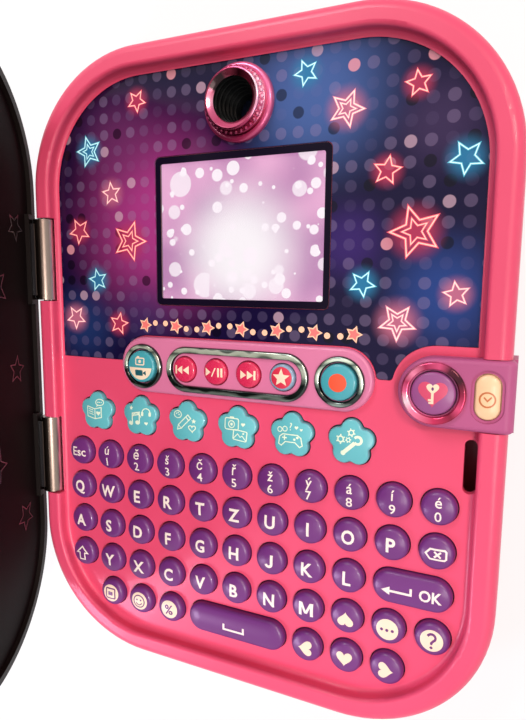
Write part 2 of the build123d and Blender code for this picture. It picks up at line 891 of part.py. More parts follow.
def key_mat():
    """Silicone sheet with a dome under each button's stem."""
    low_x, high_x, low_y, high_y = actuator_range()
    body = slab(board_outline(mat_inset), board_top_z, mat_top_z)
    body -= block(low_x - cut, high_x + cut, low_y - cut, high_y + cut, board_top_z, mat_top_z)
    dome = Cone(dome_foot_radius, dome_top_radius, dome_height)
    middle = mat_top_z + dome_height / 2
    return body + [Pos(x, y, middle) * dome for x, y in button_places()]


def lock_actuator():
    """Geared motor block with a bed and two rails that guide the bolt."""
    low_x, high_x, low_y, high_y = actuator_range()
    top = board_top_z + actuator_height
    body = block(low_x, high_x, low_y, high_y, board_top_z, top)
    rail = bolt_width / 2 + bolt_side_gap
    floor = board_top_z + actuator_base
    body -= block(low_x + motor_length, high_x + cut, slot_y - rail, slot_y + rail, floor, top + cut)
    return body


def lock_bolt():
    half = bolt_width / 2
    tip = bolt_tip_x
    body = block(tip - bolt_length, tip, slot_y - half, slot_y + half, bolt_low_z, bolt_low_z + bolt_height)
    return chamfer(body.faces().sort_by(Axis.X)[-1].edges(), bolt_nose)


def speaker():
    low = wall + strap_gap
    body = slab(Circle(speaker_radius), low, low + speaker_rim)
    body += slab(Circle(speaker_magnet), low + speaker_rim, low + speaker_height)
    cone_middle = low + speaker_cone_depth / 2
    cone = Pos(0, 0, cone_middle) * Cone(speaker_cone_wide, speaker_cone_narrow, speaker_cone_depth)
    return Pos(speaker_x, speaker_y) * (body - cone)


def battery_door():
    half, low_y, high_y = door_range(door_gap)
    body = block(-half, half, low_y, high_y, 0, door_thickness)
    body = fillet(body.edges().filter_by(Axis.Z), door_corner)
    for index in range(grip_count):
        y = low_y + door_lug / 2 + index * grip_pitch
        body -= block(-half / 2, half / 2, y, y + grip_width, -cut, grip_depth)
    body -= Pos(0, door_screw_y()) * slab(Circle(screw_radius + screw_gap), -cut, door_thickness + cut)
    return body


def cell_x(index):
    return (index - (cell_count - 1) / 2) * cell_pitch


def battery_cells():
    cells = []
    for index in range(cell_count):
        flip = 180 * (index % 2)
        body = slab(Circle(cell_radius), -cell_length / 2, cell_length / 2)
        body = fillet(body.edges(), cell_round)
        body += slab(Circle(nub_radius), cell_length / 2, cell_length / 2 + nub_height)
        cells.append(Pos(cell_x(index), cell_y, cell_z()) * Rot(90 + flip, 0, 0) * body)
    return Compound(children=cells)


def battery_contacts():
    low_y, high_y = battery_bay()[1:]
    half = contact_width / 2
    plates = []
    for index in range(cell_count):
        x = cell_x(index)
        for y in (low_y, high_y - contact_thickness):
            z = cell_z()
            plates.append(block(x - half, x + half, y, y + contact_thickness, z - half, z + half))
    return Compound(children=plates)


def screw(x, y, seat_z, tip_z):
    head_low = seat_z - screw_head_height
    body = slab(Circle(screw_head_radius), head_low, seat_z)
    bar = Rectangle(screw_cross_length, screw_cross_width)
    body -= slab(bar + Rot(0, 0, 90) * bar, head_low, head_low + cut)
    return Pos(x, y) * (body + slab(Circle(screw_radius), seat_z, tip_z))


def case_screws():
    screws = [screw(x, y, screw_sink + screw_head_height, screw_tip_z) for x, y in boss_places]
    screws.append(screw(0, door_screw_y(), 0, door_screw_tip_z))
    return Compound(children=screws)


def rubber_feet():
    feet = []
    for x in (-foot_x, foot_x):
        for y in (-foot_y, foot_y):
            low = foot_recess - foot_thickness
            body = slab(Circle(foot_radius), low, foot_recess)
            body = fillet(body.faces().sort_by(Axis.Z)[0].edges(), foot_round)
            feet.append(Pos(x, y) * body)
    return Compound(children=feet)


# Lid, drawn closed and then turned open about the hinge


def opened(shape):
    return Pos(hinge_x, 0, hinge_z) * Rot(0, -lid_open, 0) * Pos(-hinge_x, 0, -hinge_z) * shape


def lid_outline(inset=0.0):
    width = case_width - hinge_setback - 2 * inset
    return Pos(hinge_setback / 2, 0) * RectangleRounded(width, case_length - 2 * inset, case_corner - inset)


def lid_openings(grow=0.0):
    hole = Pos(camera_x, camera_y) * Circle(lid_hole_radius + grow)
    return hole + lock_plan(lid_notch_gap + grow)


def hinge_pads(grow=0.0):
    """Solid ground in the lid over each hinge barrel."""
    pads = Sketch()
    width = 2 * (rim_width - lid_border) + 2 * grow
    for y in hinge_y:
        length = hinge_length + 2 * (hinge_pad_margin + grow)
        pads += Pos(hinge_setback - half_width, y) * Rectangle(width, length)
    return pads


def hook_pad(grow=0.0):
    """Solid ground in the lid that the hook grows from."""
    reach = half_width - hook_low_x + hook_pad_margin + grow
    centre_x = half_width - reach / 2
    return Pos(centre_x, slot_y) * Rectangle(reach, hook_width + 2 * (hook_pad_margin + grow))


def liner_outline(inset):
    shape = lid_outline(lid_border + inset) - hinge_pads(inset) - hook_pad(inset)
    return shape - lid_openings(lid_collar + inset)


def tongue(gap=0.0):
    """Tongue of a hinge barrel, or with a gap the pocket that takes it."""
    low_x = hinge_x + tongue_inner - tongue_thickness
    half = hinge_length / 2 - hinge_pad_margin + gap
    top = lid_in_z + tongue_reach + gap
    return block(low_x - gap, low_x + tongue_thickness + gap, -half, half, hinge_z + barrel_outer / 2, top)


def hook():
    half = hook_width / 2
    low_x = hook_low_x
    body = block(low_x, low_x + hook_thickness, slot_y - half, slot_y + half, hook_low_z, lid_in_z + cut)
    low_z = hook_low_z + hook_bar
    high_z = low_z + hook_window_height
    half = hook_window_width / 2
    high_x = low_x + hook_thickness
    return body - block(low_x - cut, high_x + cut, slot_y - half, slot_y + half, low_z, high_z)


def lid_shell():
    body = slab(lid_outline(), lid_in_z, lid_out_z)
    body = fillet(body.faces().sort_by(Axis.Z)[-1].edges(), lid_round)
    seat_z = lid_in_z + liner_recess + liner_thickness
    body -= slab(liner_outline(0), lid_in_z, seat_z)
    body -= slab(liner_outline(lid_ledge), seat_z, lid_out_z - lid_skin)
    body -= slab(lid_openings(), lid_in_z, lid_out_z)
    for y in hinge_y:
        clear = Pos(hinge_x, y, hinge_z) * Rot(90, 0, 0)
        body -= clear * Cylinder(barrel_outer + seat_gap, hinge_length + 2 * seat_gap)
        body -= Pos(0, y) * tongue(seat_gap)
    return opened(body + hook())


def lid_liner():
    low = lid_in_z + liner_recess
    return opened(slab(liner_outline(seat_gap), low, low + liner_thickness))


def hinge_barrels():
    barrels = []
    for y in hinge_y:
        bore = Rot(90, 0, 0) * Cylinder(pin_radius + pin_running_gap, hinge_length + cut)
        tube = Rot(90, 0, 0) * Cylinder(barrel_outer, hinge_length)
        body = Pos(hinge_x, y, hinge_z) * tube + Pos(0, y) * tongue()
        barrels.append(opened(body - Pos(hinge_x, y, hinge_z) * bore))
    return Compound(children=barrels)


def hinge_pins():
    length = hinge_length + 2 * pin_reach
    pins = [Pos(hinge_x, y, hinge_z) * Rot(90, 0, 0) * Cylinder(pin_radius, length) for y in hinge_y]
    return Compound(children=pins)


parts = {
    "front_shell": front_shell(),
    "back_shell": back_shell(),
    "face_panel": face_panel(),
    "screen_window": screen_window(),
    "lcd_module": lcd_module(),
    "camera_ring": camera_ring(),
    "camera_barrel": camera_barrel(),
    "camera_lens": camera_lens(),
    "media_panel": media_panel(),
    "media_trims": media_trims(),
    "lock_housing": lock_housing(),
    "lock_ring": lock_ring(),
    "lock_bolt": lock_bolt(),
    "lock_actuator": lock_actuator(),
    "main_board": main_board(),
    "key_mat": key_mat(),
    "battery_door": battery_door(),
    "battery_cells": battery_cells(),
    "battery_contacts": battery_contacts(),
    "speaker": speaker(),
    "case_screws": case_screws(),
    "rubber_feet": rubber_feet(),
    "lid_shell": lid_shell(),
    "lid_liner": lid_liner(),
    "hinge_barrels": hinge_barrels(),
    "hinge_pins": hinge_pins(),
    "mode_button": media_button(mode_x, large_button_radius, large_button_crown),
    "record_button": media_button(record_x, large_button_radius, large_button_crown),
    "lock_button": lock_button(),
    "clock_button": clock_button(),
}
for index, name in enumerate(transport_names):
    parts[name] = media_button(transport_x(index), transport_radius, transport_crown)
for index in range(flower_count):
    parts[f"flower_button_{index + 1}"] = flower_button(index)
for name, caps in keyboard.items():
    parts[name] = key_moulding(caps)

os.makedirs("parts", exist_ok=True)
for name, shape in parts.items():
    export_step(shape, f"parts/{name}.step")
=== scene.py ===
from math import cos, pi, radians, sin, tau

import bmesh
import bpy
from mathutils import Matrix, Vector
from mathutils.bvhtree import BVHTree


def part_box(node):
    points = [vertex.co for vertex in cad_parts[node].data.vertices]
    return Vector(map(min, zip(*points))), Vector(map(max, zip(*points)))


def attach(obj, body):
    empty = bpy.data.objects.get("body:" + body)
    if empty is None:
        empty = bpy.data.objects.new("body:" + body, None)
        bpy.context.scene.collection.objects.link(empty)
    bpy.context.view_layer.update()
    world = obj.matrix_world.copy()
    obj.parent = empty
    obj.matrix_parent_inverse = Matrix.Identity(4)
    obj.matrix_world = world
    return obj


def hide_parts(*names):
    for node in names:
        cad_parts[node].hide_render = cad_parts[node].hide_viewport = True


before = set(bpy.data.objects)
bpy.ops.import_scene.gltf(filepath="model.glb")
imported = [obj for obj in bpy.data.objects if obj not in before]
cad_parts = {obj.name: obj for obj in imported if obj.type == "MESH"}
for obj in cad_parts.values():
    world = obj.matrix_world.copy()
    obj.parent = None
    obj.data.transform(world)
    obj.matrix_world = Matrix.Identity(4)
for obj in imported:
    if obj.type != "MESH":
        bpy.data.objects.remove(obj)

# Electronic secret diary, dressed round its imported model. Flat shapes are drawn in millimetres and a
# length for Blender is turned into metres with mm. X runs along the key rows, Y to the camera end and
# Z out of the keyboard face.

mm = 0.001
scene = bpy.context.scene
scene.view_settings.view_transform = "Standard"
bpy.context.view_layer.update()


# Camera
# The photograph was taken from close above the right half of the diary, so what is near looks large.
# Place, aim and focal length were worked out from the even rows of keys and the window's corners.

camera_place = Vector((102.24, 37.01, 230.47)) * mm
camera_aim = Vector((10.86, 6.91, 26.0)) * mm
camera_up = Vector((-0.0634, 0.991, -0.1176))
photo_focal_pixels = 574.0
photo_height_pixels = 720
sensor_height = 36.0

lens_data = bpy.data.cameras.new("camera")
lens_data.sensor_fit = "VERTICAL"
lens_data.sensor_height = sensor_height
lens_data.lens = photo_focal_pixels / photo_height_pixels * sensor_height
lens_data.clip_start = 5 * mm
camera = bpy.data.objects.new("camera", lens_data)
scene.collection.objects.link(camera)
sight = (camera_aim - camera_place).normalized()
rightward = sight.cross(camera_up).normalized()
turned = Matrix((rightward, rightward.cross(sight), -sight)).transposed()
camera.matrix_world = Matrix.Translation(camera_place) @ turned.to_4x4()
scene.camera = camera


# Studio
# A white table that keeps a soft shadow. The main lamps stand well off on the right, clear of the
# open lid: a warm one for every dome's shoulder and a wide one. Two weak ones lift the rim's far
# walls, and a soft spot fills the left side, which the lid shades.


def add(tree, kind, inputs=(), out=0, stops=(), **settings):
    """Adds a node with its settings, sets or links its inputs and returns one of its outputs.

    The stops of a colour ramp give a position, a colour and, where it isn't full, a strength.
    """
    added = tree.nodes.new(kind)
    for name, value in settings.items():
        setattr(added, name, value)
    if stops:
        marks = added.color_ramp.elements
        marks.remove(marks[-1])
    for index, (position, tint, *power) in enumerate(stops):
        mark = marks.new(position) if index else marks[0]
        mark.color = colour(tint, *power)
    for name, value in dict(inputs).items():
        if isinstance(value, bpy.types.NodeSocket):
            tree.links.new(value, added.inputs[name])
        else:
            added.inputs[name].default_value = value
    return added.outputs[out] if added.outputs else None


def colour(code, alpha=1.0):
    """Linear colour of an sRGB hex value."""
    shares = [int(code[i : i + 2], 16) / 255 for i in (1, 3, 5)]
    linear = [s / 12.92 if s <= 0.04045 else ((s + 0.055) / 1.055) ** 2.4 for s in shares]
    return (*linear, alpha)


def shows_white(tree):
    """1 where the camera looks, straight, in a mirror or through glass, and 0 where light bounces."""
    rays = add(tree, "ShaderNodeLightPath").node.outputs
    mirrored = {0: rays["Is Glossy Ray"], 1: rays["Is Transmission Ray"]}
    indirect = add(tree, "ShaderNodeMath", mirrored, operation="MAXIMUM")
    return add(tree, "ShaderNodeMath", {0: rays["Is Camera Ray"], 1: indirect}, operation="MAXIMUM")


sky_strength = 0.36
table_plainness = 0.78
shadow_reach, white_reach = 0.20, 0.75
table_reach = 3.0
lamps = {
    # place, width, power, colour
    "key_lamp": ((0.98, 0.85, 1.80), 0.44, 18.0, "#FFE0CC"),
    "wide_lamp": ((1.00, -0.50, 2.00), 0.80, 14.0, "#FFF4EC"),
    "far_lamp": ((-0.35, 0.80, 0.85), 0.40, 5.5, "#FFFFFF"),
    "left_lamp": ((-0.75, -0.60, 0.85), 0.34, 6.0, "#F4DCFF"),
}
spot_place, spot_aim = (0.55, -0.15, 1.10), (-0.080, -0.06, 0.03)
spot_angle, spot_width, spot_power = 17.0, 0.05, 26.0

world = bpy.data.worlds.new("studio")
world.use_nodes = True
scene.world = world
tree = world.node_tree
tree.nodes.clear()
strength = add(
    tree, "ShaderNodeMapRange", {"Value": shows_white(tree), "To Min": sky_strength, "To Max": 1.0}
)
background = add(tree, "ShaderNodeBackground", {"Color": colour("#FFFFFF"), "Strength": strength})
add(tree, "ShaderNodeOutputWorld", {"Surface": background})


def hang(lamp_data, place, aim=(0, 0, 0)):
    """Hangs a lamp at a place and turns it to its aim."""
    lamp = bpy.data.objects.new(lamp_data.name, lamp_data)
    scene.collection.objects.link(lamp)
    lamp.location = place
    lamp.rotation_euler = (Vector(aim) - Vector(place)).to_track_quat("-Z", "Y").to_euler()


for name, (place, width, power, tint) in lamps.items():
    lamp_data = bpy.data.lights.new(name, "AREA")
    lamp_data.size = width
    lamp_data.energy = power
    lamp_data.color = colour(tint)[:3]
    hang(lamp_data, place)

lamp_data = bpy.data.lights.new("left_spot", "SPOT")
lamp_data.energy = spot_power
lamp_data.spot_size = radians(spot_angle)
lamp_data.spot_blend = 1.0
lamp_data.shadow_soft_size = spot_width
hang(lamp_data, spot_place, spot_aim)

table_white = bpy.data.materials.new("table_white")
table_white.use_nodes = True
tree = table_white.node_tree
tree.nodes.clear()
lit = add(tree, "ShaderNodeBsdfDiffuse", {"Color": colour("#F8F8F8")})
plain = add(tree, "ShaderNodeEmission", {"Color": colour("#FFFFFF"), "Strength": 1.0})
place = add(tree, "ShaderNodeTexCoord", out="Object")
away = add(tree, "ShaderNodeVectorMath", {0: place}, out="Value", operation="LENGTH")
plainness = add(
    tree, "ShaderNodeMapRange",
    {"Value": away, "From Min": shadow_reach, "From Max": white_reach, "To Min": table_plainness},
    interpolation_type="SMOOTHSTEP",
)
share = add(tree, "ShaderNodeMath", {0: shows_white(tree), 1: plainness}, operation="MULTIPLY")
mixed = add(tree, "ShaderNodeMixShader", {0: share, 1: lit, 2: plain})
add(tree, "ShaderNodeOutputMaterial", {"Surface": mixed})

foot_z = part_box("rubber_feet")[0].z
table_mesh = bpy.data.meshes.new("table")
corners = [(x * table_reach, y * table_reach, foot_z) for x, y in ((-1, -1), (1, -1), (1, 1), (-1, 1))]
table_mesh.from_pydata(corners, [], [(0, 1, 2, 3)])
table_mesh.materials.append(table_white)
table = bpy.data.objects.new("table", table_mesh)
scene.collection.objects.link(table)


# Case and battery door
# Two shells of injection-moulded ABS in hot pink, joined behind the rim by screws from the back.
# The mould's fine spark grain breaks the gloss a little, and the colour goes through the wall.

# Height at which the wall of a cap is fully painted dark, a painted shade of its hole.
painted_shade_z = 25.0
# Sockets of a Mix node of colours: 0 takes the share, 6 and 7 the colours, and 2 gives the result.
of_colours = {"out": 2, "data_type": "RGBA"}


def finish(name, inputs_of):
    """A material of a real finish. inputs_of(tree) gives the inputs of its shader."""
    made = bpy.data.materials.new(name)
    made.use_nodes = True
    tree = made.node_tree
    tree.nodes.clear()
    shader = add(tree, "ShaderNodeBsdfPrincipled", inputs_of(tree))
    add(tree, "ShaderNodeOutputMaterial", {"Surface": shader})
    return made


def moulded(
    name, tone, deep_tone, roughness, grain=0.5, relief=0.01, coat=0.0, shine=0.5, glow=0.0, deep=None
):
    """Moulded plastic with faint clouds of colour, a fine grain and, where given, a gloss skin.

    Below the face it darkens to deep, a painted shade: the colour its wall would have in the shade of its
    hole.
    """

    def inputs_of(tree):
        place = add(tree, "ShaderNodeTexCoord", out="Object")
        clouds = add(tree, "ShaderNodeTexNoise", {"Vector": place, "Scale": 1 / (35 * mm), "Detail": 1.0})
        tones = {0: clouds, 6: colour(tone), 7: colour(deep_tone)}
        base = add(tree, "ShaderNodeMix", tones, **of_colours)
        # Where deep is given, the wall below the face is painted towards it, as painted shade.
        if deep:
            height = add(tree, "ShaderNodeSeparateXYZ", {"Vector": place}, out="Z")
            painted_shade_share = add(
                tree, "ShaderNodeMapRange",
                {"Value": height, "From Min": (painted_shade_z + 1.2) * mm, "From Max": painted_shade_z * mm},
            )
            base = add(tree, "ShaderNodeMix", {0: painted_shade_share, 6: base, 7: colour(deep)}, **of_colours)
        fine = add(tree, "ShaderNodeTexNoise", {"Vector": place, "Scale": 1 / (grain * mm), "Detail": 2.0})
        dull = add(
            tree, "ShaderNodeMapRange",
            {"Value": fine, "To Min": max(roughness - 0.06, 0.02), "To Max": roughness + 0.06},
        )
        uneven = add(tree, "ShaderNodeBump", {"Height": fine, "Strength": 0.5, "Distance": relief * mm})
        inputs = {
            "Base Color": base, "Roughness": dull, "Normal": uneven, "IOR": 1.5, "Specular IOR Level": shine,
            "Coat Weight": coat, "Coat Roughness": 0.06,
        }
        if glow:
            inputs.update({"Emission Color": base, "Emission Strength": glow})
        return inputs

    return finish(name, inputs_of)


def dress(made, *names):
    """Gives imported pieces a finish."""
    for name in names:
        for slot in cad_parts[name].material_slots:
            slot.material = made


# Semi-gloss ABS: soft broad highlights on the rim, and edges that stay pink.
pink_abs = moulded("pink_abs", "#E85278", "#E0496E", 0.38, coat=0.08, shine=0.4)
dress(pink_abs, "front_shell", "back_shell", "battery_door")


# Feet, screws, pins and bolt
# Four moulded rubber pads are glued in shallow seats, and seven plated steel screws are sunk in the
# back. Rubber is dull and dark, and the steel is a bright zinc grey with drawn marks.


def metal(name, tone, deep_tone, roughness, streak, relief=0.004):
    """Metal whose marks are streak millimetres long along X, Y and Z."""

    def inputs_of(tree):
        place = add(tree, "ShaderNodeTexCoord", out="Object")
        along = [1 / (length * mm) for length in streak]
        stretched = add(tree, "ShaderNodeMapping", {"Vector": place, "Scale": along})
        marks = add(tree, "ShaderNodeTexNoise", {"Vector": stretched, "Scale": 1.0, "Detail": 3.0})
        dull = add(
            tree, "ShaderNodeMapRange",
            {"Value": marks, "To Min": roughness - 0.08, "To Max": roughness + 0.08},
        )
        uneven = add(tree, "ShaderNodeBump", {"Height": marks, "Strength": 0.4, "Distance": relief * mm})
        tones = {0: marks, 6: colour(tone), 7: colour(deep_tone)}
        base = add(tree, "ShaderNodeMix", tones, **of_colours)
        return {"Base Color": base, "Metallic": 1.0, "Roughness": dull, "Normal": uneven}

    return finish(name, inputs_of)


foot_rubber = moulded("foot_rubber", "#1C1B1D", "#141315", 0.62, grain=0.8, relief=0.03)
zinc_steel = metal("zinc_plated_steel", "#B9BABC", "#8E9094", 0.3, (0.3, 0.3, 2.0))
dress(foot_rubber, "rubber_feet")
dress(zinc_steel, "case_screws", "hinge_pins", "lock_bolt")


# Inside
# What the slot, the grille and the open latch let be seen: a green board, a milky silicone mat, black
# mouldings, a dark speaker cone and sleeved cells between nickel-plated springs.

board_green = moulded("soldermask_green", "#1E5B36", "#174A2C", 0.3, grain=1.2, relief=0.02, coat=0.3)
silicone = moulded("milky_silicone", "#C9C6CC", "#BDB9C2", 0.5, grain=0.8)
black_abs = moulded("black_abs", "#17161A", "#0F0E12", 0.42)
cell_sleeve = moulded("cell_sleeve", "#35405E", "#2B3550", 0.3, grain=2.0, coat=0.4)
nickel = metal("nickel_plate", "#C9C5BA", "#A9A498", 0.25, (0.4, 2.0, 0.4))
dress(board_green, "main_board")
dress(silicone, "key_mat")
dress(black_abs, "lock_actuator", "speaker", "lcd_module")
dress(cell_sleeve, "battery_cells")
dress(nickel, "battery_contacts")


# Printed face panel
# A thin clear sheet printed on its back: a night of magenta and blue glows, even rows of round dots,
# some lit and some out, and neon stars. Seen through the sheet, the print has a deep gloss.

panel_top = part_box("face_panel")[1].z / mm
panel_glows = [
    # x, y, radius, colour, strength
    (-40.0, 62.0, 60.0, "#A83A86", 0.95),
    (-58.0, 96.0, 32.0, "#6A2F62", 0.55),
    (30.0, 104.0, 44.0, "#4866A8", 0.9),
    (74.0, 90.0, 24.0, "#54406C", 0.4),
    (44.0, 52.0, 22.0, "#3E2474", 0.7),
    (78.0, 34.0, 30.0, "#2A4A96", 0.75),
    (-78.0, 18.0, 26.0, "#23407C", 0.55),
    (-46.0, 23.0, 24.0, "#28346C", 0.4),
]
panel_stars = [
    # x, y, reach, turn, ink, glow radius
    (-73.0, 92.6, 6.2, 14, "aqua", 8.5),
    (-47.5, 110.6, 4.2, 40, "rose", 7.0),
    (-61.5, 74.4, 4.6, 6, "blush", 8.0),
    (-79.5, 59.0, 5.4, 28, "rose", 7.5),
    (-52.5, 54.2, 8.2, 52, "rose", 11.0),
    (-70.0, 37.6, 4.6, 12, "aqua", 8.0),
    (-83.0, 20.6, 5.0, 34, "blush", 8.5),
    (-59.0, 18.6, 4.6, 60, "rose", 7.0),
    (26.5, 112.0, 4.4, 22, "aqua", 8.0),
    (42.0, 98.0, 6.2, 48, "blush", 9.5),
    (66.5, 103.6, 4.2, 8, "rose", 7.0),
    (83.0, 78.4, 5.4, 30, "aqua", 9.0),
    (57.0, 76.0, 4.8, 62, "rose", 7.5),
    (67.5, 55.0, 8.8, 18, "rose", 12.0),
    (49.5, 37.0, 4.6, 44, "aqua", 8.0),
    (82.0, 33.8, 4.2, 10, "blush", 7.5),
    (62.5, 23.6, 6.4, 36, "blush", 10.5),
]
star_inks = {
    # core, rim, light round it
    "rose": ("#FFC8BC", "#EE566C", "#B83A5E"),
    "blush": ("#FFE0DA", "#E88CA4", "#C8708E"),
    "aqua": ("#CFF4FA", "#4CB8D4", "#2C80B0"),
}
dot_pitch = 6.8
dot_radius = 2.15
dot_lots = [
    # from, colour, strength
    (0.0, "#0A0712", 0.7),
    (0.10, "#8474A4", 0.14),
    (0.42, "#8474A4", 0.06),
    (0.60, "#9C88B4", 0.22),
    (0.93, "#D8B4CC", 0.5),
    (0.975, "#EDA0B0", 0.7),
]


def glow_share(tree, place, x, y, radius, core, power, shape="SMOOTHERSTEP"):
    """Share of a round glow at a place: power inside core and nothing beyond radius."""
    away = add(
        tree, "ShaderNodeVectorMath", {0: place, 1: (x * mm, y * mm, 0)}, out="Value", operation="DISTANCE"
    )
    return add(
        tree, "ShaderNodeMapRange",
        {"Value": away, "From Min": radius * mm, "From Max": core * mm, "To Max": power},
        interpolation_type=shape,
    )


def night_print(tree, place, glows, stars):
    """Colour of the night print at a flat place: glows, dots and the light round each star."""
    shade = colour("#150D34")
    for x, y, radius, tint, power in glows:
        near = glow_share(tree, place, x, y, radius, 0.0, power)
        shade = add(tree, "ShaderNodeMix", {0: near, 6: shade, 7: colour(tint)}, **of_colours)
    grid = add(tree, "ShaderNodeVectorMath", {0: place, 1: [1 / (dot_pitch * mm)] * 3}, operation="MULTIPLY")
    cell = add(tree, "ShaderNodeVectorMath", {0: grid}, operation="FLOOR")
    inside = add(tree, "ShaderNodeVectorMath", {0: grid, 1: cell}, operation="SUBTRACT")
    away = add(
        tree, "ShaderNodeVectorMath", {0: inside, 1: (0.5, 0.5, 0)}, out="Value", operation="DISTANCE"
    )
    edge = dot_radius / dot_pitch
    dot = add(tree, "ShaderNodeMapRange", {"Value": away, "From Min": edge * 1.06, "From Max": edge * 0.94})
    chance = add(tree, "ShaderNodeTexWhiteNoise", {"Vector": cell}, noise_dimensions="3D")
    lot = add(tree, "ShaderNodeValToRGB", {0: chance}, stops=dot_lots).node
    lot.color_ramp.interpolation = "CONSTANT"
    shown = add(tree, "ShaderNodeMath", {0: dot, 1: lot.outputs["Alpha"]}, operation="MULTIPLY")
    shade = add(tree, "ShaderNodeMix", {0: shown, 6: shade, 7: lot.outputs["Color"]}, **of_colours)
    for x, y, reach, turn, ink_name, radius in stars:
        near = glow_share(tree, place, x, y, radius, reach * 0.25, 0.85, "SMOOTHSTEP")
        light = colour(star_inks[ink_name][2])
        shade = add(tree, "ShaderNodeMix", {0: near, 6: shade, 7: light}, **of_colours)
    return shade


def under_sheet(tree, shade):
    """Shader inputs of a print under a clear sheet."""
    place = add(tree, "ShaderNodeTexCoord", out="Object")
    speck = add(tree, "ShaderNodeTexNoise", {"Vector": place, "Scale": 1 / (0.6 * mm), "Detail": 1.0})
    dull = add(tree, "ShaderNodeMapRange", {"Value": speck, "To Min": 0.1, "To Max": 0.18})
    return {
        "Base Color": shade, "Roughness": dull, "IOR": 1.5, "Specular IOR Level": 0.15,
        "Coat Weight": 0.05, "Coat Roughness": 0.04,
    }


def panel_print(tree):
    place = add(tree, "ShaderNodeTexCoord", out="Object")
    flat = add(tree, "ShaderNodeVectorMath", {0: place, 1: (1, 1, 0)}, operation="MULTIPLY")
    return under_sheet(tree, night_print(tree, flat, panel_glows, panel_stars))


# Clear sheet printed on its back: deep colours under an even gloss.
dress(finish("backprinted_sheet", panel_print), "face_panel")


def ribbon(points, width, closed=False):
    """Strip of quads along a line of points, mitred at its corners."""
    count = len(points)
    sides = []
    for index, point in enumerate(points):
        here = Vector(point)
        ways = []
        if index or closed:
            ways.append((here - Vector(points[index - 1])).normalized())
        if index < count - 1 or closed:
            ways.append((Vector(points[(index + 1) % count]) - here).normalized())
        across = sum((Vector((-way.y, way.x)) for way in ways), Vector((0, 0))).normalized()
        lean = max(across.dot(Vector((-ways[0].y, ways[0].x))), 0.4)
        sides.append((here + across * width / 2 / lean, here - across * width / 2 / lean))
    strips = []
    for index in range(count if closed else count - 1):
        here, following = sides[index], sides[(index + 1) % count]
        strips.append([here[1], following[1], following[0], here[0]])
    return strips


def ellipse(radius, other=None, steps=32, start=0.0, sweep=360.0):
    """Points round a circle or ellipse, or along part of it."""
    other = radius if other is None else other
    spans = steps if sweep == 360.0 else steps - 1
    angles = [radians(start + sweep * index / spans) for index in range(steps)]
    return [(radius * cos(angle), other * sin(angle)) for angle in angles]


def star_points(reach, waist=0.46):
    corners = []
    for index in range(10):
        radius = reach if index % 2 == 0 else reach * waist
        angle = radians(90 + 36 * index)
        corners.append((radius * cos(angle), radius * sin(angle)))
    return corners


def heart_points(width, steps=28):
    """Outline of a heart of the given width, its point down."""
    outline = []
    for index in range(steps):
        t = tau * index / steps
        across = 16 * sin(t) ** 3
        up = 13 * cos(t) - 5 * cos(2 * t) - 2 * cos(3 * t) - cos(4 * t)
        outline.append((across * width / 32, (up + 2) * width / 32))
    return outline


def placed(shape, x=0.0, y=0.0, turn=0.0, scale=1.0):
    """The polygons of a flat shape turned, scaled and moved."""
    c, s = cos(radians(turn)) * scale, sin(radians(turn)) * scale
    return [[(x + p[0] * c - p[1] * s, y + p[0] * s + p[1] * c) for p in polygon] for polygon in shape]


def flat_mesh(shape, reach):
    """Bmesh in metres of flat polygons in millimetres, its edges no longer than reach."""
    work = bmesh.new()
    for polygon in shape:
        work.faces.new([work.verts.new((p[0] * mm, p[1] * mm, 0)) for p in polygon])
    bmesh.ops.remove_doubles(work, verts=work.verts, dist=2e-6)
    work.normal_update()
    for face in work.faces:
        if face.normal.z < 0:
            face.normal_flip()
    bmesh.ops.triangulate(work, faces=work.faces)
    for _ in range(6):
        long_edges = [edge for edge in work.edges if edge.calc_length() > reach * mm]
        if not long_edges:
            break
        bmesh.ops.subdivide_edges(work, edges=long_edges, cuts=1)
        bmesh.ops.triangulate(work, faces=work.faces)
    bmesh.ops.dissolve_degenerate(work, edges=work.edges, dist=2e-6)
    return work


def thickened(work, depth):
    """Closes a sheet to a plate depth millimetres thick by a lower skin and walls round its edges."""
    skin = list(work.faces)
    rims = [edge.link_loops[0] for edge in work.edges if len(edge.link_faces) == 1]
    ends = [(loop.vert, loop.link_loop_next.vert) for loop in rims]
    lower = {vert: work.verts.new(vert.co - Vector((0, 0, depth * mm))) for vert in list(work.verts)}
    for face in skin:
        under = [lower[vert] for vert in reversed(face.verts)]
        if not work.faces.get(under):
            work.faces.new(under)
    for first, second in ends:
        work.faces.new((second, first, lower[first], lower[second]))


def piece_of(name, work, made, body, sharp=35.0):
    """Turns a bmesh in metres into a piece that rides on a body."""
    for face in work.faces:
        face.smooth = True
    for edge in work.edges:
        edge.smooth = len(edge.link_faces) == 2 and edge.calc_face_angle() < radians(sharp)
    mesh = bpy.data.meshes.new(name)
    work.to_mesh(mesh)
    work.free()
    mesh.materials.append(made)
    piece = bpy.data.objects.new(name, mesh)
    scene.collection.objects.link(piece)
    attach(piece, body)
    return piece


def printed(name, shape, node, made, body="base", rise=0.06, reach=0.9):
    """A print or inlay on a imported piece: polygons in millimetres laid on its surface from above."""
    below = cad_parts[node].data
    ground = BVHTree.FromPolygons([v.co for v in below.vertices], [p.vertices for p in below.polygons])
    work = flat_mesh(shape, reach)
    for vert in work.verts:
        hit = ground.ray_cast(Vector((vert.co.x, vert.co.y, 1.0)), Vector((0, 0, -1)))[0]
        vert.co.z = hit.z + rise * mm
    thickened(work, 2 * rise)
    return piece_of(name, work, made, body)


def ink(name, tone, roughness=0.35, glow=0.0):
    """Screen ink: opaque, evenly laid, with a slight tooth."""
    return moulded(name, tone, tone, roughness, grain=0.3, relief=0.004, glow=glow)


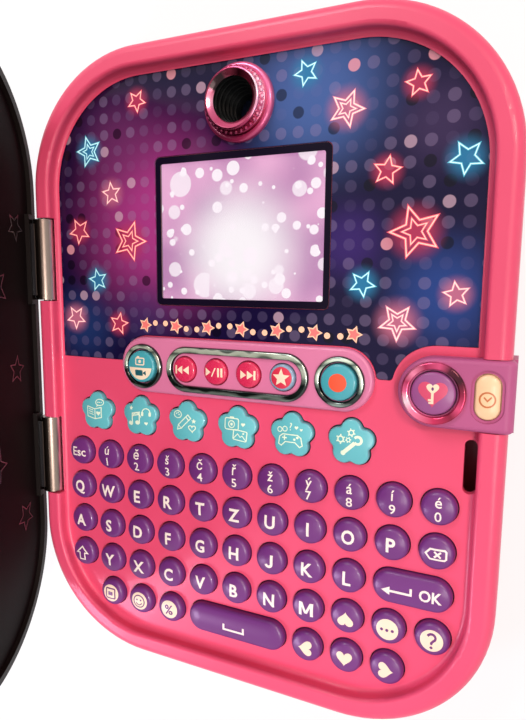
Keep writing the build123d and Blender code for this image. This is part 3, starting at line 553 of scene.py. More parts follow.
# Width of a neon line, which grows with its star, and the narrower core's share of it. A star of more
# than double_reach holds a smaller one.
tube_width, tube_growth = 0.5, 0.055
core_share = 0.42
double_reach = 6.0
inner_reach, inner_tube, inner_core = 0.52, 0.8, 0.34


def neon(stars):
    """The wide rims and the narrow cores of neon stars, as polygons for each ink."""
    drawn = {kind: ([], []) for kind in star_inks}
    for x, y, reach, turn, kind, _ in stars:
        tube = tube_width + reach * tube_growth
        outlines = [(reach, tube, tube * core_share)]
        if reach > double_reach:
            outlines.append((reach * inner_reach, tube * inner_tube, tube * inner_core))
        rims, cores = drawn[kind]
        for tip, rim_width, core_width in outlines:
            rims += placed(ribbon(star_points(tip), rim_width, True), x, y, turn)
            cores += placed(ribbon(star_points(tip), core_width, True), x, y, turn)
    return drawn


# Neon inks: a pale core on a coloured rim, both with a faint painted glow, so that the lines look like lit
# tubes.
rim_inks_painted_glow = {kind: ink("neon_rim_" + kind, tints[1], glow=0.12) for kind, tints in star_inks.items()}
core_inks_painted_glow = {kind: ink("neon_core_" + kind, tints[0], glow=0.25) for kind, tints in star_inks.items()}
for kind, (rims, cores) in neon(panel_stars).items():
    printed("neon_rims_" + kind, rims, "face_panel", rim_inks_painted_glow[kind], rise=0.02, reach=30)
    printed("neon_cores_" + kind, cores, "face_panel", core_inks_painted_glow[kind], rise=0.035, reach=30)


# Garland under the window
# A plain garland of small stars and dots in peach and coral ink, printed with the sheet. Geometry
# Nodes string it along a gentle wave: every third place takes a star.

garland_low_x, garland_high_x, garland_y = -45.0, 47.0, 18.6
garland_count = 19
garland_wave = 1.1
bead_waist = 0.52
bead_thickness = 0.03


def growing_tree(name, numbers):
    """Geometry Nodes tree with named inputs for its sizes; gives the tree and its inputs' sockets."""
    tree = bpy.data.node_groups.new(name, "GeometryNodeTree")
    for label, value in numbers.items():
        kind = "NodeSocketInt" if isinstance(value, int) else "NodeSocketFloat"
        tree.interface.new_socket(label, in_out="INPUT", socket_type=kind)
    tree.interface.new_socket("Geometry", in_out="OUTPUT", socket_type="NodeSocketGeometry")
    return tree, tree.nodes.new("NodeGroupInput").outputs


def grown(name, tree, numbers, body):
    """Plain mesh of what a Geometry Nodes tree makes, as a piece that rides on a body."""
    holder = bpy.data.objects.new(name, bpy.data.meshes.new(name))
    scene.collection.objects.link(holder)
    growth = holder.modifiers.new(name, "NODES")
    growth.node_group = tree
    for item in tree.interface.items_tree:
        if item.in_out == "INPUT":
            growth[item.identifier] = numbers[item.name]
    bpy.context.view_layer.update()
    mesh = bpy.data.meshes.new_from_object(holder.evaluated_get(bpy.context.evaluated_depsgraph_get()))
    holder.modifiers.remove(growth)
    holder.data = mesh
    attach(holder, body)
    return holder


def garland(name, made, star_reach, dot_reach, lift):
    """Flat beads along the wave: stars of five points, and round dots where dot_reach is given."""
    step = (garland_high_x - garland_low_x) / (garland_count - 1)
    numbers = {
        "Count": garland_count, "Low X": garland_low_x * mm, "Step": step * mm, "Y": garland_y * mm,
        "Z": (panel_top + lift - bead_thickness) * mm, "Wave": garland_wave * mm,
        "Star reach": star_reach * mm, "Star waist": star_reach * bead_waist * mm,
        "Dot reach": dot_reach * mm, "Thickness": bead_thickness * mm,
    }
    tree, size = growing_tree(name, numbers)
    start = add(tree, "ShaderNodeCombineXYZ", {0: size["Low X"], 1: size["Y"], 2: size["Z"]})
    step = add(tree, "ShaderNodeCombineXYZ", {0: size["Step"]})
    places = {"Count": size["Count"], "Start Location": start, "Offset": step}
    line = add(tree, "GeometryNodeMeshLine", places)
    index = add(tree, "GeometryNodeInputIndex")
    angle = add(tree, "ShaderNodeMath", {0: index, 1: pi / 3}, operation="MULTIPLY")
    sine = add(tree, "ShaderNodeMath", {0: angle}, operation="SINE")
    swing = add(tree, "ShaderNodeMath", {0: sine, 1: size["Wave"]}, operation="MULTIPLY")
    offset = add(tree, "ShaderNodeCombineXYZ", {1: swing})
    waved = add(tree, "GeometryNodeSetPosition", {"Geometry": line, "Offset": offset})
    turn = add(tree, "ShaderNodeMath", {0: index, 1: 3.0}, operation="MODULO")
    third = add(tree, "ShaderNodeMath", {0: turn, 1: 0.0}, operation="COMPARE")
    reaches = {"Points": 5, "Inner Radius": size["Star waist"], "Outer Radius": size["Star reach"]}
    star = add(tree, "GeometryNodeCurveStar", reaches)
    beads = [(star, third)]
    if dot_reach:
        dot = add(tree, "GeometryNodeCurvePrimitiveCircle", {"Resolution": 20, "Radius": size["Dot reach"]})
        beads.append((dot, add(tree, "ShaderNodeMath", {0: 1.0, 1: third}, operation="SUBTRACT")))
    strung = add(tree, "GeometryNodeJoinGeometry").node
    for bead, chosen in beads:
        skin = add(tree, "GeometryNodeFillCurve", {"Curve": bead})
        raised = add(
            tree, "GeometryNodeExtrudeMesh",
            {"Mesh": skin, "Offset Scale": size["Thickness"], "Individual": False},
        )
        closed = add(tree, "GeometryNodeJoinGeometry").node
        tree.links.new(add(tree, "GeometryNodeFlipFaces", {"Mesh": skin}), closed.inputs[0])
        tree.links.new(raised, closed.inputs[0])
        whole = {"Geometry": closed.outputs[0], "Distance": 1e-6}
        plate = add(tree, "GeometryNodeMergeByDistance", whole)
        row = {"Points": waved, "Selection": chosen, "Instance": plate}
        tree.links.new(add(tree, "GeometryNodeInstanceOnPoints", row), strung.inputs[0])
    joined = add(tree, "GeometryNodeRealizeInstances", {"Geometry": strung.outputs[0]})
    coated = add(tree, "GeometryNodeSetMaterial", {"Geometry": joined, "Material": made})
    add(tree, "NodeGroupOutput", {"Geometry": coated})
    return grown(name, tree, numbers, "base")


# Screen inks with a faint painted glow, so that the small beads stay clear on the dark print.
garland("garland_peach", ink("peach_ink_painted_glow", "#FBC7A8", glow=0.1), 3.4, 1.2, 0.03)
garland("garland_coral", ink("coral_ink_painted_glow", "#F07A78", glow=0.05), 2.4, 0.0, 0.06)


# Display and window
# A backlit screen behind a clear acrylic window whose back is printed with a black border. The
# picture is a plain one of soft lights out of focus, drifting over pink and lilac.


def middle_of(node):
    """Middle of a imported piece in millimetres, seen from above."""
    low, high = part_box(node)
    return (low.x + high.x) / 2 / mm, (low.y + high.y) / 2 / mm


window_low, window_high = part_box("screen_window")
window_x, window_y = middle_of("screen_window")
pane_width, pane_height = (window_high.x - window_low.x) / mm, (window_high.y - window_low.y) / mm
picture_width, picture_height = 71.0, 54.4
picture_lights = [
    # size, least, strength, shift
    (17.0, 0.1, 0.5, 0.0),
    (11.0, 0.15, 0.75, 0.4),
    (7.0, 0.2, 0.95, 0.8),
    (4.6, 0.45, 1.0, 1.3),
]


def screen_picture(tree):
    place = add(tree, "ShaderNodeTexCoord", out="Object")
    flat = add(tree, "ShaderNodeVectorMath", {0: place, 1: (1, 1, 0)}, operation="MULTIPLY")
    spread = add(tree, "ShaderNodeTexNoise", {"Vector": flat, "Scale": 1 / (30 * mm), "Detail": 1.0})
    share = add(tree, "ShaderNodeMapRange", {"Value": spread, "From Min": 0.36, "From Max": 0.62})
    tones = {0: share, 6: colour("#B060A4"), 7: colour("#E69CCC")}
    picture = add(tree, "ShaderNodeMix", tones, **of_colours)
    beam = glow_share(tree, flat, window_x, window_y - 8.0, 38.0, 4.0, 0.88)
    picture = add(tree, "ShaderNodeMix", {0: beam, 6: picture, 7: colour("#FFFFFF")}, **of_colours)
    for size, least, power, shift in picture_lights:
        moved = add(tree, "ShaderNodeMapping", {"Vector": flat, "Location": (shift, shift * 0.7, 0)})
        bubble = add(
            tree, "ShaderNodeTexVoronoi", {"Vector": moved, "Scale": 1 / (size * mm), "Randomness": 0.85}
        ).node.outputs
        own = add(tree, "ShaderNodeSeparateColor", {"Color": bubble["Color"]})
        radius = add(tree, "ShaderNodeMapRange", {"Value": own, "From Min": least, "To Max": 0.5})
        inner = add(tree, "ShaderNodeMath", {0: radius, 1: 0.05}, operation="SUBTRACT")
        disc = add(
            tree, "ShaderNodeMapRange",
            {"Value": bubble["Distance"], "From Min": radius, "From Max": inner, "To Max": power},
            interpolation_type="SMOOTHSTEP",
        )
        picture = add(tree, "ShaderNodeMix", {0: disc, 6: picture, 7: colour("#FFF4FC")}, **of_colours)
    return {
        "Base Color": colour("#0A0A0C"), "Roughness": 0.25, "IOR": 1.5,
        "Emission Color": picture, "Emission Strength": 1.0,
    }


def rounded(width, height, radius, steps=6):
    """Points of a rectangle with round corners."""
    points = []
    for turn, side_x, side_y in ((0, 1, 1), (90, -1, 1), (180, -1, -1), (270, 1, -1)):
        for x, y in ellipse(radius, steps=steps, start=turn, sweep=90.0):
            points.append((side_x * (width / 2 - radius) + x, side_y * (height / 2 - radius) + y))
    return points


def frame_strip(outer, inner):
    """Quads between two outlines with as many points."""
    count = len(outer)
    return [[inner[i], outer[i], outer[(i + 1) % count], inner[(i + 1) % count]] for i in range(count)]


def clear_acrylic(tree):
    place = add(tree, "ShaderNodeTexCoord", out="Object")
    faint = add(tree, "ShaderNodeTexNoise", {"Vector": place, "Scale": 1 / (6 * mm), "Detail": 2.0})
    dull = add(tree, "ShaderNodeMapRange", {"Value": faint, "To Min": 0.02, "To Max": 0.07})
    return {
        "Base Color": colour("#E8E4F0"), "Roughness": dull, "IOR": 1.49, "Alpha": 0.1,
        "Specular IOR Level": 0.2,
    }


# Cast acrylic: nearly all see-through, with a thin gloss.
dress(finish("clear_acrylic", clear_acrylic), "screen_window")
picture = placed([rounded(picture_width + 1.0, picture_height + 1.0, 0.6)], window_x, window_y)
# The picture shines by itself, under the faint gloss of the screen's polariser.
backlit_screen = finish("backlit_screen", screen_picture)
printed("picture", picture, "lcd_module", backlit_screen, rise=0.03, reach=200)
# Ink on the back of the window: a violet black that takes no light of its own.
border_ink = moulded("black_border_ink", "#170F24", "#110A1C", 0.2, shine=0.08)
outer = rounded(pane_width - 0.1, pane_height - 0.1, 2.2)
border = placed(frame_strip(outer, rounded(picture_width, picture_height, 0.8)), window_x, window_y)
printed("window_border", border, "screen_window", border_ink, rise=0.02, reach=200)


# Camera bezel
# A turned bezel, vacuum-metallised in pink under clear lacquer: a fat pale rim on the panel, a cone
# set with a row of cut studs and a round lip. The black tube inside is stepped against stray light.

bezel_x, bezel_y = middle_of("camera_ring")
funnel_radius = 10.35
rim_radius = 12.2
# Colour stops run round the axis: painted reflections in the funnel and on the studs, painted light on the
# rim.
funnel_painted_reflections = [
    (0.0, "#E89CB4"), (0.05, "#C86084"), (0.14, "#B84068"), (0.30, "#D05078"), (0.42, "#8E2444"),
    (0.52, "#5E1028"), (0.62, "#8A2440"), (0.70, "#3A0A18"), (0.76, "#B04460"), (0.82, "#24060E"),
    (0.92, "#1C040A"), (0.95, "#D87490"), (1.0, "#E89CB4"),
]
cone_painted_reflections = [
    (0.0, "#8E2448"), (0.12, "#5E1230"), (0.25, "#741A38"), (0.36, "#B03460"), (0.46, "#F0A8C4"),
    (0.58, "#FFD8E6"), (0.66, "#D86A94"), (0.76, "#B83C68"), (0.88, "#7E1C3C"), (1.0, "#8E2448"),
]
rim_painted_light = [
    (0.0, "#A03062"), (0.16, "#7A1E42"), (0.28, "#B03060"), (0.38, "#CC4C80"), (0.5, "#E070A0"),
    (0.72, "#DC6C9C"), (0.86, "#C04680"), (1.0, "#A03062"),
]
stud_count = 34
stud_radius = 0.82
stud_ring_radius = 11.6
stud_z = 30.2


def arc(centre_r, centre_z, radius, start, end, steps=10):
    """Points of an arc in a turned profile, as radius and height."""
    angles = [radians(start + (end - start) * index / (steps - 1)) for index in range(steps)]
    return [(centre_r + radius * cos(angle), centre_z + radius * sin(angle)) for angle in angles]


def lathe(profile, x, y, steps=96):
    """Bmesh of a closed profile of (radius, height) points in millimetres, turned about Z."""
    work = bmesh.new()
    rings = []
    for index in range(steps):
        c, s = cos(tau * index / steps), sin(tau * index / steps)
        rings.append([work.verts.new(Vector((x + r * c, y + r * s, z)) * mm) for r, z in profile])
    for index in range(steps):
        here, following = rings[index], rings[(index + 1) % steps]
        for step in range(len(profile)):
            after = (step + 1) % len(profile)
            work.faces.new((here[step], following[step], following[after], here[after]))
    bmesh.ops.recalc_face_normals(work, faces=work.faces)
    return work


def around(tree, place, x, y, stops):
    """Colour that runs round an upright axis, from the left through the near side to the left again."""
    off = add(tree, "ShaderNodeVectorMath", {0: place, 1: (x * mm, y * mm, 0)}, operation="SUBTRACT")
    sides = add(tree, "ShaderNodeSeparateXYZ", {"Vector": off}).node.outputs
    angle = add(tree, "ShaderNodeMath", {0: sides["Y"], 1: sides["X"]}, operation="ARCTAN2")
    share = add(tree, "ShaderNodeMapRange", {"Value": angle, "From Min": -pi, "From Max": pi})
    return add(tree, "ShaderNodeValToRGB", {0: share}, stops=stops)


def metallised(tree):
    """Pink mirror plating with painted reflections: the funnel and the studs carry a dark room's lights, and
    the rim is painted paler on its lit side.
    """
    place = add(tree, "ShaderNodeTexCoord", out="Object")
    flat = add(tree, "ShaderNodeVectorMath", {0: place, 1: (1, 1, 0)}, operation="MULTIPLY")
    away = add(
        tree, "ShaderNodeVectorMath", {0: flat, 1: (bezel_x * mm, bezel_y * mm, 0)}, out="Value",
        operation="DISTANCE",
    )
    shade = around(tree, place, bezel_x, bezel_y, funnel_painted_reflections)
    for radius, stops in ((funnel_radius, cone_painted_reflections), (rim_radius, rim_painted_light)):
        ends = {"From Min": (radius - 0.06) * mm, "From Max": (radius + 0.06) * mm}
        beyond = add(tree, "ShaderNodeMapRange", {"Value": away, **ends})
        band = around(tree, place, bezel_x, bezel_y, stops)
        shade = add(tree, "ShaderNodeMix", {0: beyond, 6: shade, 7: band}, **of_colours)
    smear = add(tree, "ShaderNodeTexNoise", {"Vector": place, "Scale": 1 / (3 * mm), "Detail": 2.0})
    return {
        "Base Color": shade,
        "Metallic": add(tree, "ShaderNodeMapRange", {"Value": beyond, "To Min": 0.7, "To Max": 0.3}),
        "Roughness": add(tree, "ShaderNodeMapRange", {"Value": smear, "To Min": 0.14, "To Max": 0.26}),
        "Coat Weight": 0.15, "Coat Roughness": 0.05,
    }


pink_metal = finish("pink_vacuum_metal", metallised)
# Radius and height: up inside, over the round lip, down the cone, over the fat rim and back below.
profile = [(9.4, 24.6), (9.4, 31.08), (8.3, 31.08), (8.25, 31.2), (8.6, 31.6), (9.5, 32.2)]
profile += arc(10.62, 32.1, 0.6, 130, 10, 9)
profile += [(11.2, 31.7), (11.0, 31.3), (11.55, 28.9)]
profile += arc(11.75, 28.6, 0.28, 100, -20, 5)
profile += [(12.0, 27.2)]
profile += arc(13.2, 26.45, 1.32, 155, 0, 14)
profile += [(14.52, 25.55), (10.9, 25.55), (10.9, 24.6)]
bezel = piece_of("camera_bezel", lathe(profile, bezel_x, bezel_y), pink_metal, "base", 50)
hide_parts("camera_ring")

studs = {
    "Count": stud_count, "Stud radius": stud_radius * mm, "Ring radius": stud_ring_radius * mm,
    "X": bezel_x * mm, "Y": bezel_y * mm, "Z": stud_z * mm,
}
tree, size = growing_tree("stud_row", studs)
ring = add(
    tree, "GeometryNodeMeshCircle", {"Vertices": size["Count"], "Radius": size["Ring radius"]}, out="Mesh"
)
middle = add(tree, "ShaderNodeCombineXYZ", {0: size["X"], 1: size["Y"], 2: size["Z"]})
raised = add(tree, "GeometryNodeTransform", {"Geometry": ring, "Translation": middle})
stud = add(tree, "GeometryNodeMeshIcoSphere", {"Radius": size["Stud radius"], "Subdivisions": 2}, out="Mesh")
row = add(tree, "GeometryNodeInstanceOnPoints", {"Points": raised, "Instance": stud})
joined = add(tree, "GeometryNodeRealizeInstances", {"Geometry": row})
coated = add(tree, "GeometryNodeSetMaterial", {"Geometry": joined, "Material": pink_metal})
add(tree, "NodeGroupOutput", {"Geometry": coated})
grown("bezel_studs", tree, studs, "base")

# Satin black moulding: each step keeps a thin grey line of light.
dress(moulded("satin_black_tube", "#101112", "#08090A", 0.34, grain=0.6, shine=0.35), "camera_barrel")


def coated_glass(tree):
    place = add(tree, "ShaderNodeTexCoord", out="Object")
    shift = add(tree, "ShaderNodeTexNoise", {"Vector": place, "Scale": 1 / (7 * mm)})
    dull = add(tree, "ShaderNodeMapRange", {"Value": shift, "To Min": 0.02, "To Max": 0.06})
    tones = {0: shift, 6: colour("#1C1030"), 7: colour("#0A2428")}
    film = add(tree, "ShaderNodeMix", tones, **of_colours)
    return {"Base Color": film, "Roughness": dull, "IOR": 1.6, "Coat Weight": 1.0, "Coat Roughness": 0.02}


# Coated optical glass: dark and clear, with a violet and green sheen.
dress(finish("coated_lens", coated_glass), "camera_lens")


# Media panel, lock housing and chrome trims
# Both orchid mouldings stand proud of the face in satin-gloss ABS. The trims round their buttons are
# plated ABS with painted reflections: painted bright where they look up, and painted dark green-black where
# they look at their neighbours.

dress(moulded("pink_orchid_abs", "#DC80A8", "#D2709C", 0.36, coat=0.1), "media_panel")
dress(moulded("deep_orchid_abs", "#BE608F", "#AE5284", 0.44, shine=0.3), "lock_housing")

trim_y = middle_of("media_trims")[1]
trim_reach = 9.6
trim_painted_reflections = [
    (0.0, "#3A4A44"), (0.06, "#8C9C94"), (0.12, "#0E1614"), (0.26, "#22302C"), (0.36, "#101A18"),
    (0.46, "#7C8C82"), (0.54, "#DCE8D6"), (0.66, "#F4FCEC"), (0.76, "#C8D8C4"), (0.84, "#52605A"),
    (0.90, "#D8E6D0"), (0.97, "#F0FAE8"), (1.0, "#6A7870"),
]


def chrome(tree):
    """Plating with painted reflections of a dark room: a broad pale band on the far side, dark ones near,
    and edges painted dark.
    """
    place = add(tree, "ShaderNodeTexCoord", out="Object")
    smear = add(tree, "ShaderNodeTexNoise", {"Vector": place, "Scale": 1 / (9 * mm), "Detail": 1.0})
    deep = add(tree, "ShaderNodeSeparateXYZ", {"Vector": place}).node.outputs["Y"]
    ends = {"From Min": (trim_y - trim_reach) * mm, "From Max": (trim_y + trim_reach) * mm}
    share = add(tree, "ShaderNodeMapRange", {"Value": deep, **ends})
    drift = add(tree, "ShaderNodeMapRange", {"Value": smear, "To Min": -0.15, "To Max": 0.15})
    wavy = add(tree, "ShaderNodeMath", {0: share, 1: drift}, operation="ADD")
    mirrored = add(tree, "ShaderNodeValToRGB", {0: wavy}, stops=trim_painted_reflections)
    # Where the surface turns sideways it is painted dark, a painted reflection of dark surroundings.
    facing = add(tree, "ShaderNodeNewGeometry", out="Normal")
    up = add(tree, "ShaderNodeSeparateXYZ", {"Vector": facing}, out="Z")
    flat = add(tree, "ShaderNodeMapRange", {"Value": up, "From Min": 0.72, "From Max": 0.94})
    dull = add(tree, "ShaderNodeMapRange", {"Value": smear, "To Min": 0.06, "To Max": 0.16})
    shade = add(tree, "ShaderNodeMix", {0: flat, 6: colour("#0C1210"), 7: mirrored}, **of_colours)
    return {
        "Base Color": shade, "Metallic": 0.55, "Roughness": dull, "Coat Weight": 0.6, "Coat Roughness": 0.04,
    }


dress(finish("plated_chrome", chrome), "media_trims")

ring_x, ring_y = middle_of("lock_ring")
ring_painted_reflections = [
    (0.0, "#E85C8C"), (0.06, "#FFD8E4"), (0.12, "#FF88AC"), (0.26, "#D02C5C"), (0.36, "#8A1438"),
    (0.42, "#E84C7C"), (0.50, "#9A1C44"), (0.58, "#3E0A1C"), (0.66, "#54102A"), (0.72, "#E05080"),
    (0.80, "#A82450"), (0.88, "#F888AC"), (0.94, "#B02C58"), (1.0, "#E85C8C"),
]


def rose_plating(tree):
    """Rose plating on a round ring: painted reflections, bright and dark streaks round it as in any turned
    mirror.
    """
    place = add(tree, "ShaderNodeTexCoord", out="Object")
    smear = add(tree, "ShaderNodeTexNoise", {"Vector": place, "Scale": 1 / (4 * mm), "Detail": 2.0})
    dull = add(tree, "ShaderNodeMapRange", {"Value": smear, "To Min": 0.06, "To Max": 0.16})
    return {
        "Base Color": around(tree, place, ring_x, ring_y, ring_painted_reflections), "Metallic": 0.6,
        "Roughness": dull, "Coat Weight": 0.15, "Coat Roughness": 0.05,
    }


dress(finish("plated_rose_ring", rose_plating), "lock_ring")


# Hinge barrels
# Two satin nickel-plated tubes on steel pins, drawn lengthwise, so faint streaks run along them. Each
# carries a painted highlight band and painted shade. The leaves that hold them in the lid are black.

hinge_x, hinge_z = -98.5, 27.2
barrel_radius = 4.95
painted_light_side = (0.707, 0, -0.707)
barrel_painted_highlight = [
    (0.0, "#2A2422"), (0.2, "#5E504A"), (0.45, "#86756B"), (0.68, "#9A8A80"), (0.78, "#FFFFFF"),
    (0.88, "#FFFFFF"), (0.94, "#8A6A66"), (1.0, "#2E2224"),
]


def satin_nickel(tree):
    """Drawn nickel: a painted hot highlight band on the side of the lamps, painted shade on the other, and
    black leaves off the barrels.
    """
    place = add(tree, "ShaderNodeTexCoord", out="Object")
    facing = add(tree, "ShaderNodeNewGeometry", out="Normal")
    across = add(
        tree, "ShaderNodeVectorMath", {0: facing, 1: painted_light_side}, out="Value", operation="DOT_PRODUCT"
    )
    share = add(tree, "ShaderNodeMapRange", {"Value": across, "From Min": -1.0})
    along = [1 / (length * mm) for length in (0.5, 24.0, 0.5)]
    stretched = add(tree, "ShaderNodeMapping", {"Vector": place, "Scale": along})
    marks = add(tree, "ShaderNodeTexNoise", {"Vector": stretched, "Scale": 1.0, "Detail": 3.0})
    streaks = add(tree, "ShaderNodeMapRange", {"Value": marks, "To Min": 0.0, "To Max": 0.45})
    painted_light_bands = add(tree, "ShaderNodeValToRGB", {0: share}, stops=barrel_painted_highlight)
    drawn = add(tree, "ShaderNodeMix", {0: streaks, 6: painted_light_bands, 7: colour("#6E5E56")}, **of_colours)
    flat = add(tree, "ShaderNodeVectorMath", {0: place, 1: (1, 0, 1)}, operation="MULTIPLY")
    away = add(
        tree, "ShaderNodeVectorMath", {0: flat, 1: (hinge_x * mm, 0, hinge_z * mm)}, out="Value",
        operation="DISTANCE",
    )
    leaf = add(
        tree, "ShaderNodeMapRange",
        {"Value": away, "From Min": barrel_radius * mm, "From Max": (barrel_radius + 0.1) * mm},
    )
    shade = add(tree, "ShaderNodeMix", {0: leaf, 6: drawn, 7: colour("#141014")}, **of_colours)
    return {
        "Base Color": shade,
        "Normal": add(tree, "ShaderNodeBump", {"Height": marks, "Strength": 0.4, "Distance": 0.008 * mm}),
        "Metallic": add(tree, "ShaderNodeMapRange", {"Value": leaf, "To Min": 1.0, "To Max": 0.0}),
        "Roughness": add(tree, "ShaderNodeMapRange", {"Value": marks, "To Min": 0.22, "To Max": 0.38}),
    }


dress(finish("satin_nickel", satin_nickel), "hinge_barrels")


# Keycaps
# Domed caps in semi-gloss purple ABS, each in its own hole, with legends in white ink. The wide
# caps are the same section drawn out. Function keys carry cream icons.

key_pitch_x, key_pitch_y = 16.06, 16.55
top_row_y = -41.2
middle_column = 5
key_nodes = [
    "esc_key", "number_keys_left", "number_keys_right", "top_letters_left", "top_letters_right",
    "backspace_key", "middle_letters", "ok_key", "shift_key", "bottom_letters", "heart_up_key", "menu_key",
    "help_key", "save_key", "smiley_key", "symbol_key", "space_key", "heart_left_key", "heart_down_key",
    "heart_right_key",
]
letter_height = 5.5
letter_weight = 0.036
# Height of a capital of the built-in font, as a share of its size.
capital_share = 0.682
narrow_letters = {"Q": 0.86, "O": 0.86, "C": 0.88, "G": 0.86, "W": 0.88}


def key_at(column, row):
    return (column - middle_column) * key_pitch_x, top_row_y - row * key_pitch_y


def lettering(text, height, x=0.0, y=0.0, weight=letter_weight, narrow=1.0):
    """Polygons of plain lettering whose capitals are height high, with x, y in their middle."""
    letters = bpy.data.curves.new("letters", "FONT")
    letters.body = text
    letters.offset = weight * height
    letters.size = (height - 2 * letters.offset) / capital_share
    letters.resolution_u = 3
    holder = bpy.data.objects.new("letters", letters)
    scene.collection.objects.link(holder)
    bpy.context.view_layer.update()
    mesh = bpy.data.meshes.new_from_object(holder)
    bpy.data.objects.remove(holder)
    points = [(vert.co.x, vert.co.y + letters.offset - height / 2) for vert in mesh.vertices]
    middle = (min(p[0] for p in points) + max(p[0] for p in points)) / 2
    return [
        [(x + (points[i][0] - middle) * narrow, y + points[i][1]) for i in polygon.vertices]
        for polygon in mesh.polygons
    ]


# Each dome takes one soft highlight, and its wall is painted dark down in its hole, a painted shade.
purple_abs = moulded(
    "purple_abs", "#73337E", "#652970", 0.34, relief=0.002, coat=0.08, shine=0.4, deep="#260C22"
)
dress(purple_abs, *key_nodes)
# Screen inks lie flat and nearly matt, so the legends read from any side.
white_ink = ink("white_key_ink", "#F6E8E0")
cream_ink = ink("cream_key_ink", "#F8E0C6")
plum_ink = ink("plum_key_ink", "#6A2A70")

letter_m = [
    (-2.95, -2.75), (-2.95, 2.75), (-1.55, 2.75), (0, -0.5), (1.55, 2.75), (2.95, 2.75), (2.95, -2.75),
    (1.75, -2.75), (1.75, 0.9), (0.55, -1.7), (-0.55, -1.7), (-1.75, 0.9), (-1.75, -2.75),
]
hook = [(x - 0.2, y - 1.0) for x, y in ellipse(1.2, 1.2, steps=9, start=0, sweep=-170.0)]
letter_j = ribbon([(1.0, 2.75)] + hook, 1.15)
own_letters = {"M": [letter_m], "J": letter_j}


def legend(node, shape, made=white_ink, rise=0.06, tag="legend"):
    return printed(f"{tag}_{node}", shape, node, made, body=node, rise=rise)


def letter_row(node, text, first_column, row):
    shape = []
    for index, letter in enumerate(text):
        x, y = key_at(first_column + index, row)
        if letter in own_letters:
            shape += placed(own_letters[letter], x, y)
        else:
            shape += lettering(letter, letter_height, x, y, narrow=narrow_letters.get(letter, 0.94))
    legend(node, shape)


letter_row("top_letters_left", "QWERT", 0, 1)
letter_row("top_letters_right", "ZUIOP", 5, 1)
letter_row("middle_letters", "ASDFGHJKL", 0, 2)
letter_row("bottom_letters", "YXCVBNM", 1, 3)

accents = "úěščřžýáíé"
digits = "1234567890"
for node, first in (("number_keys_left", 0), ("number_keys_right", 5)):
    shape = []
    for index in range(first, first + 5):
        x, y = key_at(1 + index, 0)
        shape += lettering(accents[index], 3.9, x, y + 2.6, weight=0.012)
        shape += lettering(digits[index], 3.7, x, y - 2.7, weight=0.012)
    legend(node, shape)

legend("esc_key", lettering("Esc", 4.1, *key_at(0, 0), weight=0.02))

x, y = key_at(0, 3)
arrow = [(0, 3.2), (3.0, 0.2), (1.4, 0.2), (1.4, -3.0), (-1.4, -3.0), (-1.4, 0.2), (-3.0, 0.2)]
legend("shift_key", placed(ribbon(arrow, 0.6, True), x, y))

x, y = key_at(10, 1)
label = [(-4.1, 0), (-2.3, 2.1), (3.4, 2.1), (4.0, 1.5), (4.0, -1.5), (3.4, -2.1), (-2.3, -2.1)]
shape = ribbon(label, 0.75, True) + ribbon([(-0.7, -1.2), (1.9, 1.2)], 0.8)
shape += ribbon([(-0.7, 1.2), (1.9, -1.2)], 0.8)
legend("backspace_key", placed(shape, x, y, scale=0.88))

x, y = key_at(9.5, 2)
back_arrow = ribbon([(-9.2, -1.0), (0.4, -1.0), (0.4, 1.8)], 1.0)
back_arrow += [[(-12.0, -1.0), (-8.4, 0.9), (-8.4, -2.9)]]
back_arrow = placed(back_arrow, x - 0.4, y + 0.1, scale=0.87)
legend("ok_key", back_arrow + lettering("OK", 4.3, x + 6.9, y, narrow=0.9))

x, y = key_at(5, 4)
legend("space_key", placed(ribbon([(-4.6, 1.2), (-4.6, -1.2), (4.6, -1.2), (4.6, 1.2)], 0.9), x, y - 0.4))

key_hearts = {
    "heart_up_key": (8, 3, 180), "heart_left_key": (7, 4, -90), "heart_down_key": (8, 4, 0),
    "heart_right_key": (9, 4, 90),
}
for node, (column, row, turn) in key_hearts.items():
    legend(node, placed([heart_points(6.3)], *key_at(column, row), turn), cream_ink)

small_dot = [ellipse(0.6, steps=12)]
disk_icon = ribbon(rounded(4.8, 4.8, 0.5, 3), 0.6, True) + [rounded(2.4, 1.8, 0.2, 2)]
face_icon = ribbon(ellipse(2.8), 0.5, True) + ribbon(ellipse(1.6, steps=9, start=200, sweep=140), 0.45)
face_icon += placed(small_dot, -1.0, 0.7, scale=0.75) + placed(small_dot, 1.0, 0.7, scale=0.75)
bow = [(x, y + 1.4) for x, y in ellipse(1.4, 1.3, steps=12, start=165, sweep=-225)]
question_mark = ribbon(bow + [(0.0, -0.6), (0.0, -1.3)], 0.85) + placed(small_dot, 0, -2.5, scale=0.95)
key_icons = {
    "menu_key": (9, 3, placed(small_dot, -2.0) + placed(small_dot) + placed(small_dot, 2.0)),
    "help_key": (10, 3, question_mark),
    "save_key": (1, 4, disk_icon),
    "smiley_key": (2, 4, face_icon),
    "symbol_key": (3, 4, lettering("%", 4.4, weight=0.03)),
}
for node, (column, row, icon) in key_icons.items():
    x, y = key_at(column, row)
    legend(node, placed([ellipse(4.1, steps=40)], x, y), cream_ink)
    legend(node, placed(icon, x, y), plum_ink, rise=0.1, tag="icon")


# Flower buttons
# Six teal caps in the shape of a five-petalled flower, a little domed, with pale line icons for the
# diary, music, drawing, pictures, games and settings. The icons are plain ones of their kind.

# Glossier caps than the keys, so that the petals catch a crisper light.
# Their walls too are painted dark down in their holes, a painted shade.
teal_abs = moulded("teal_abs", "#6CC2CC", "#5AB4C0", 0.3, relief=0.002, coat=0.2, deep="#1C4450")
pale_ink = ink("pale_icon_ink", "#E9F6DE")
line = 0.42


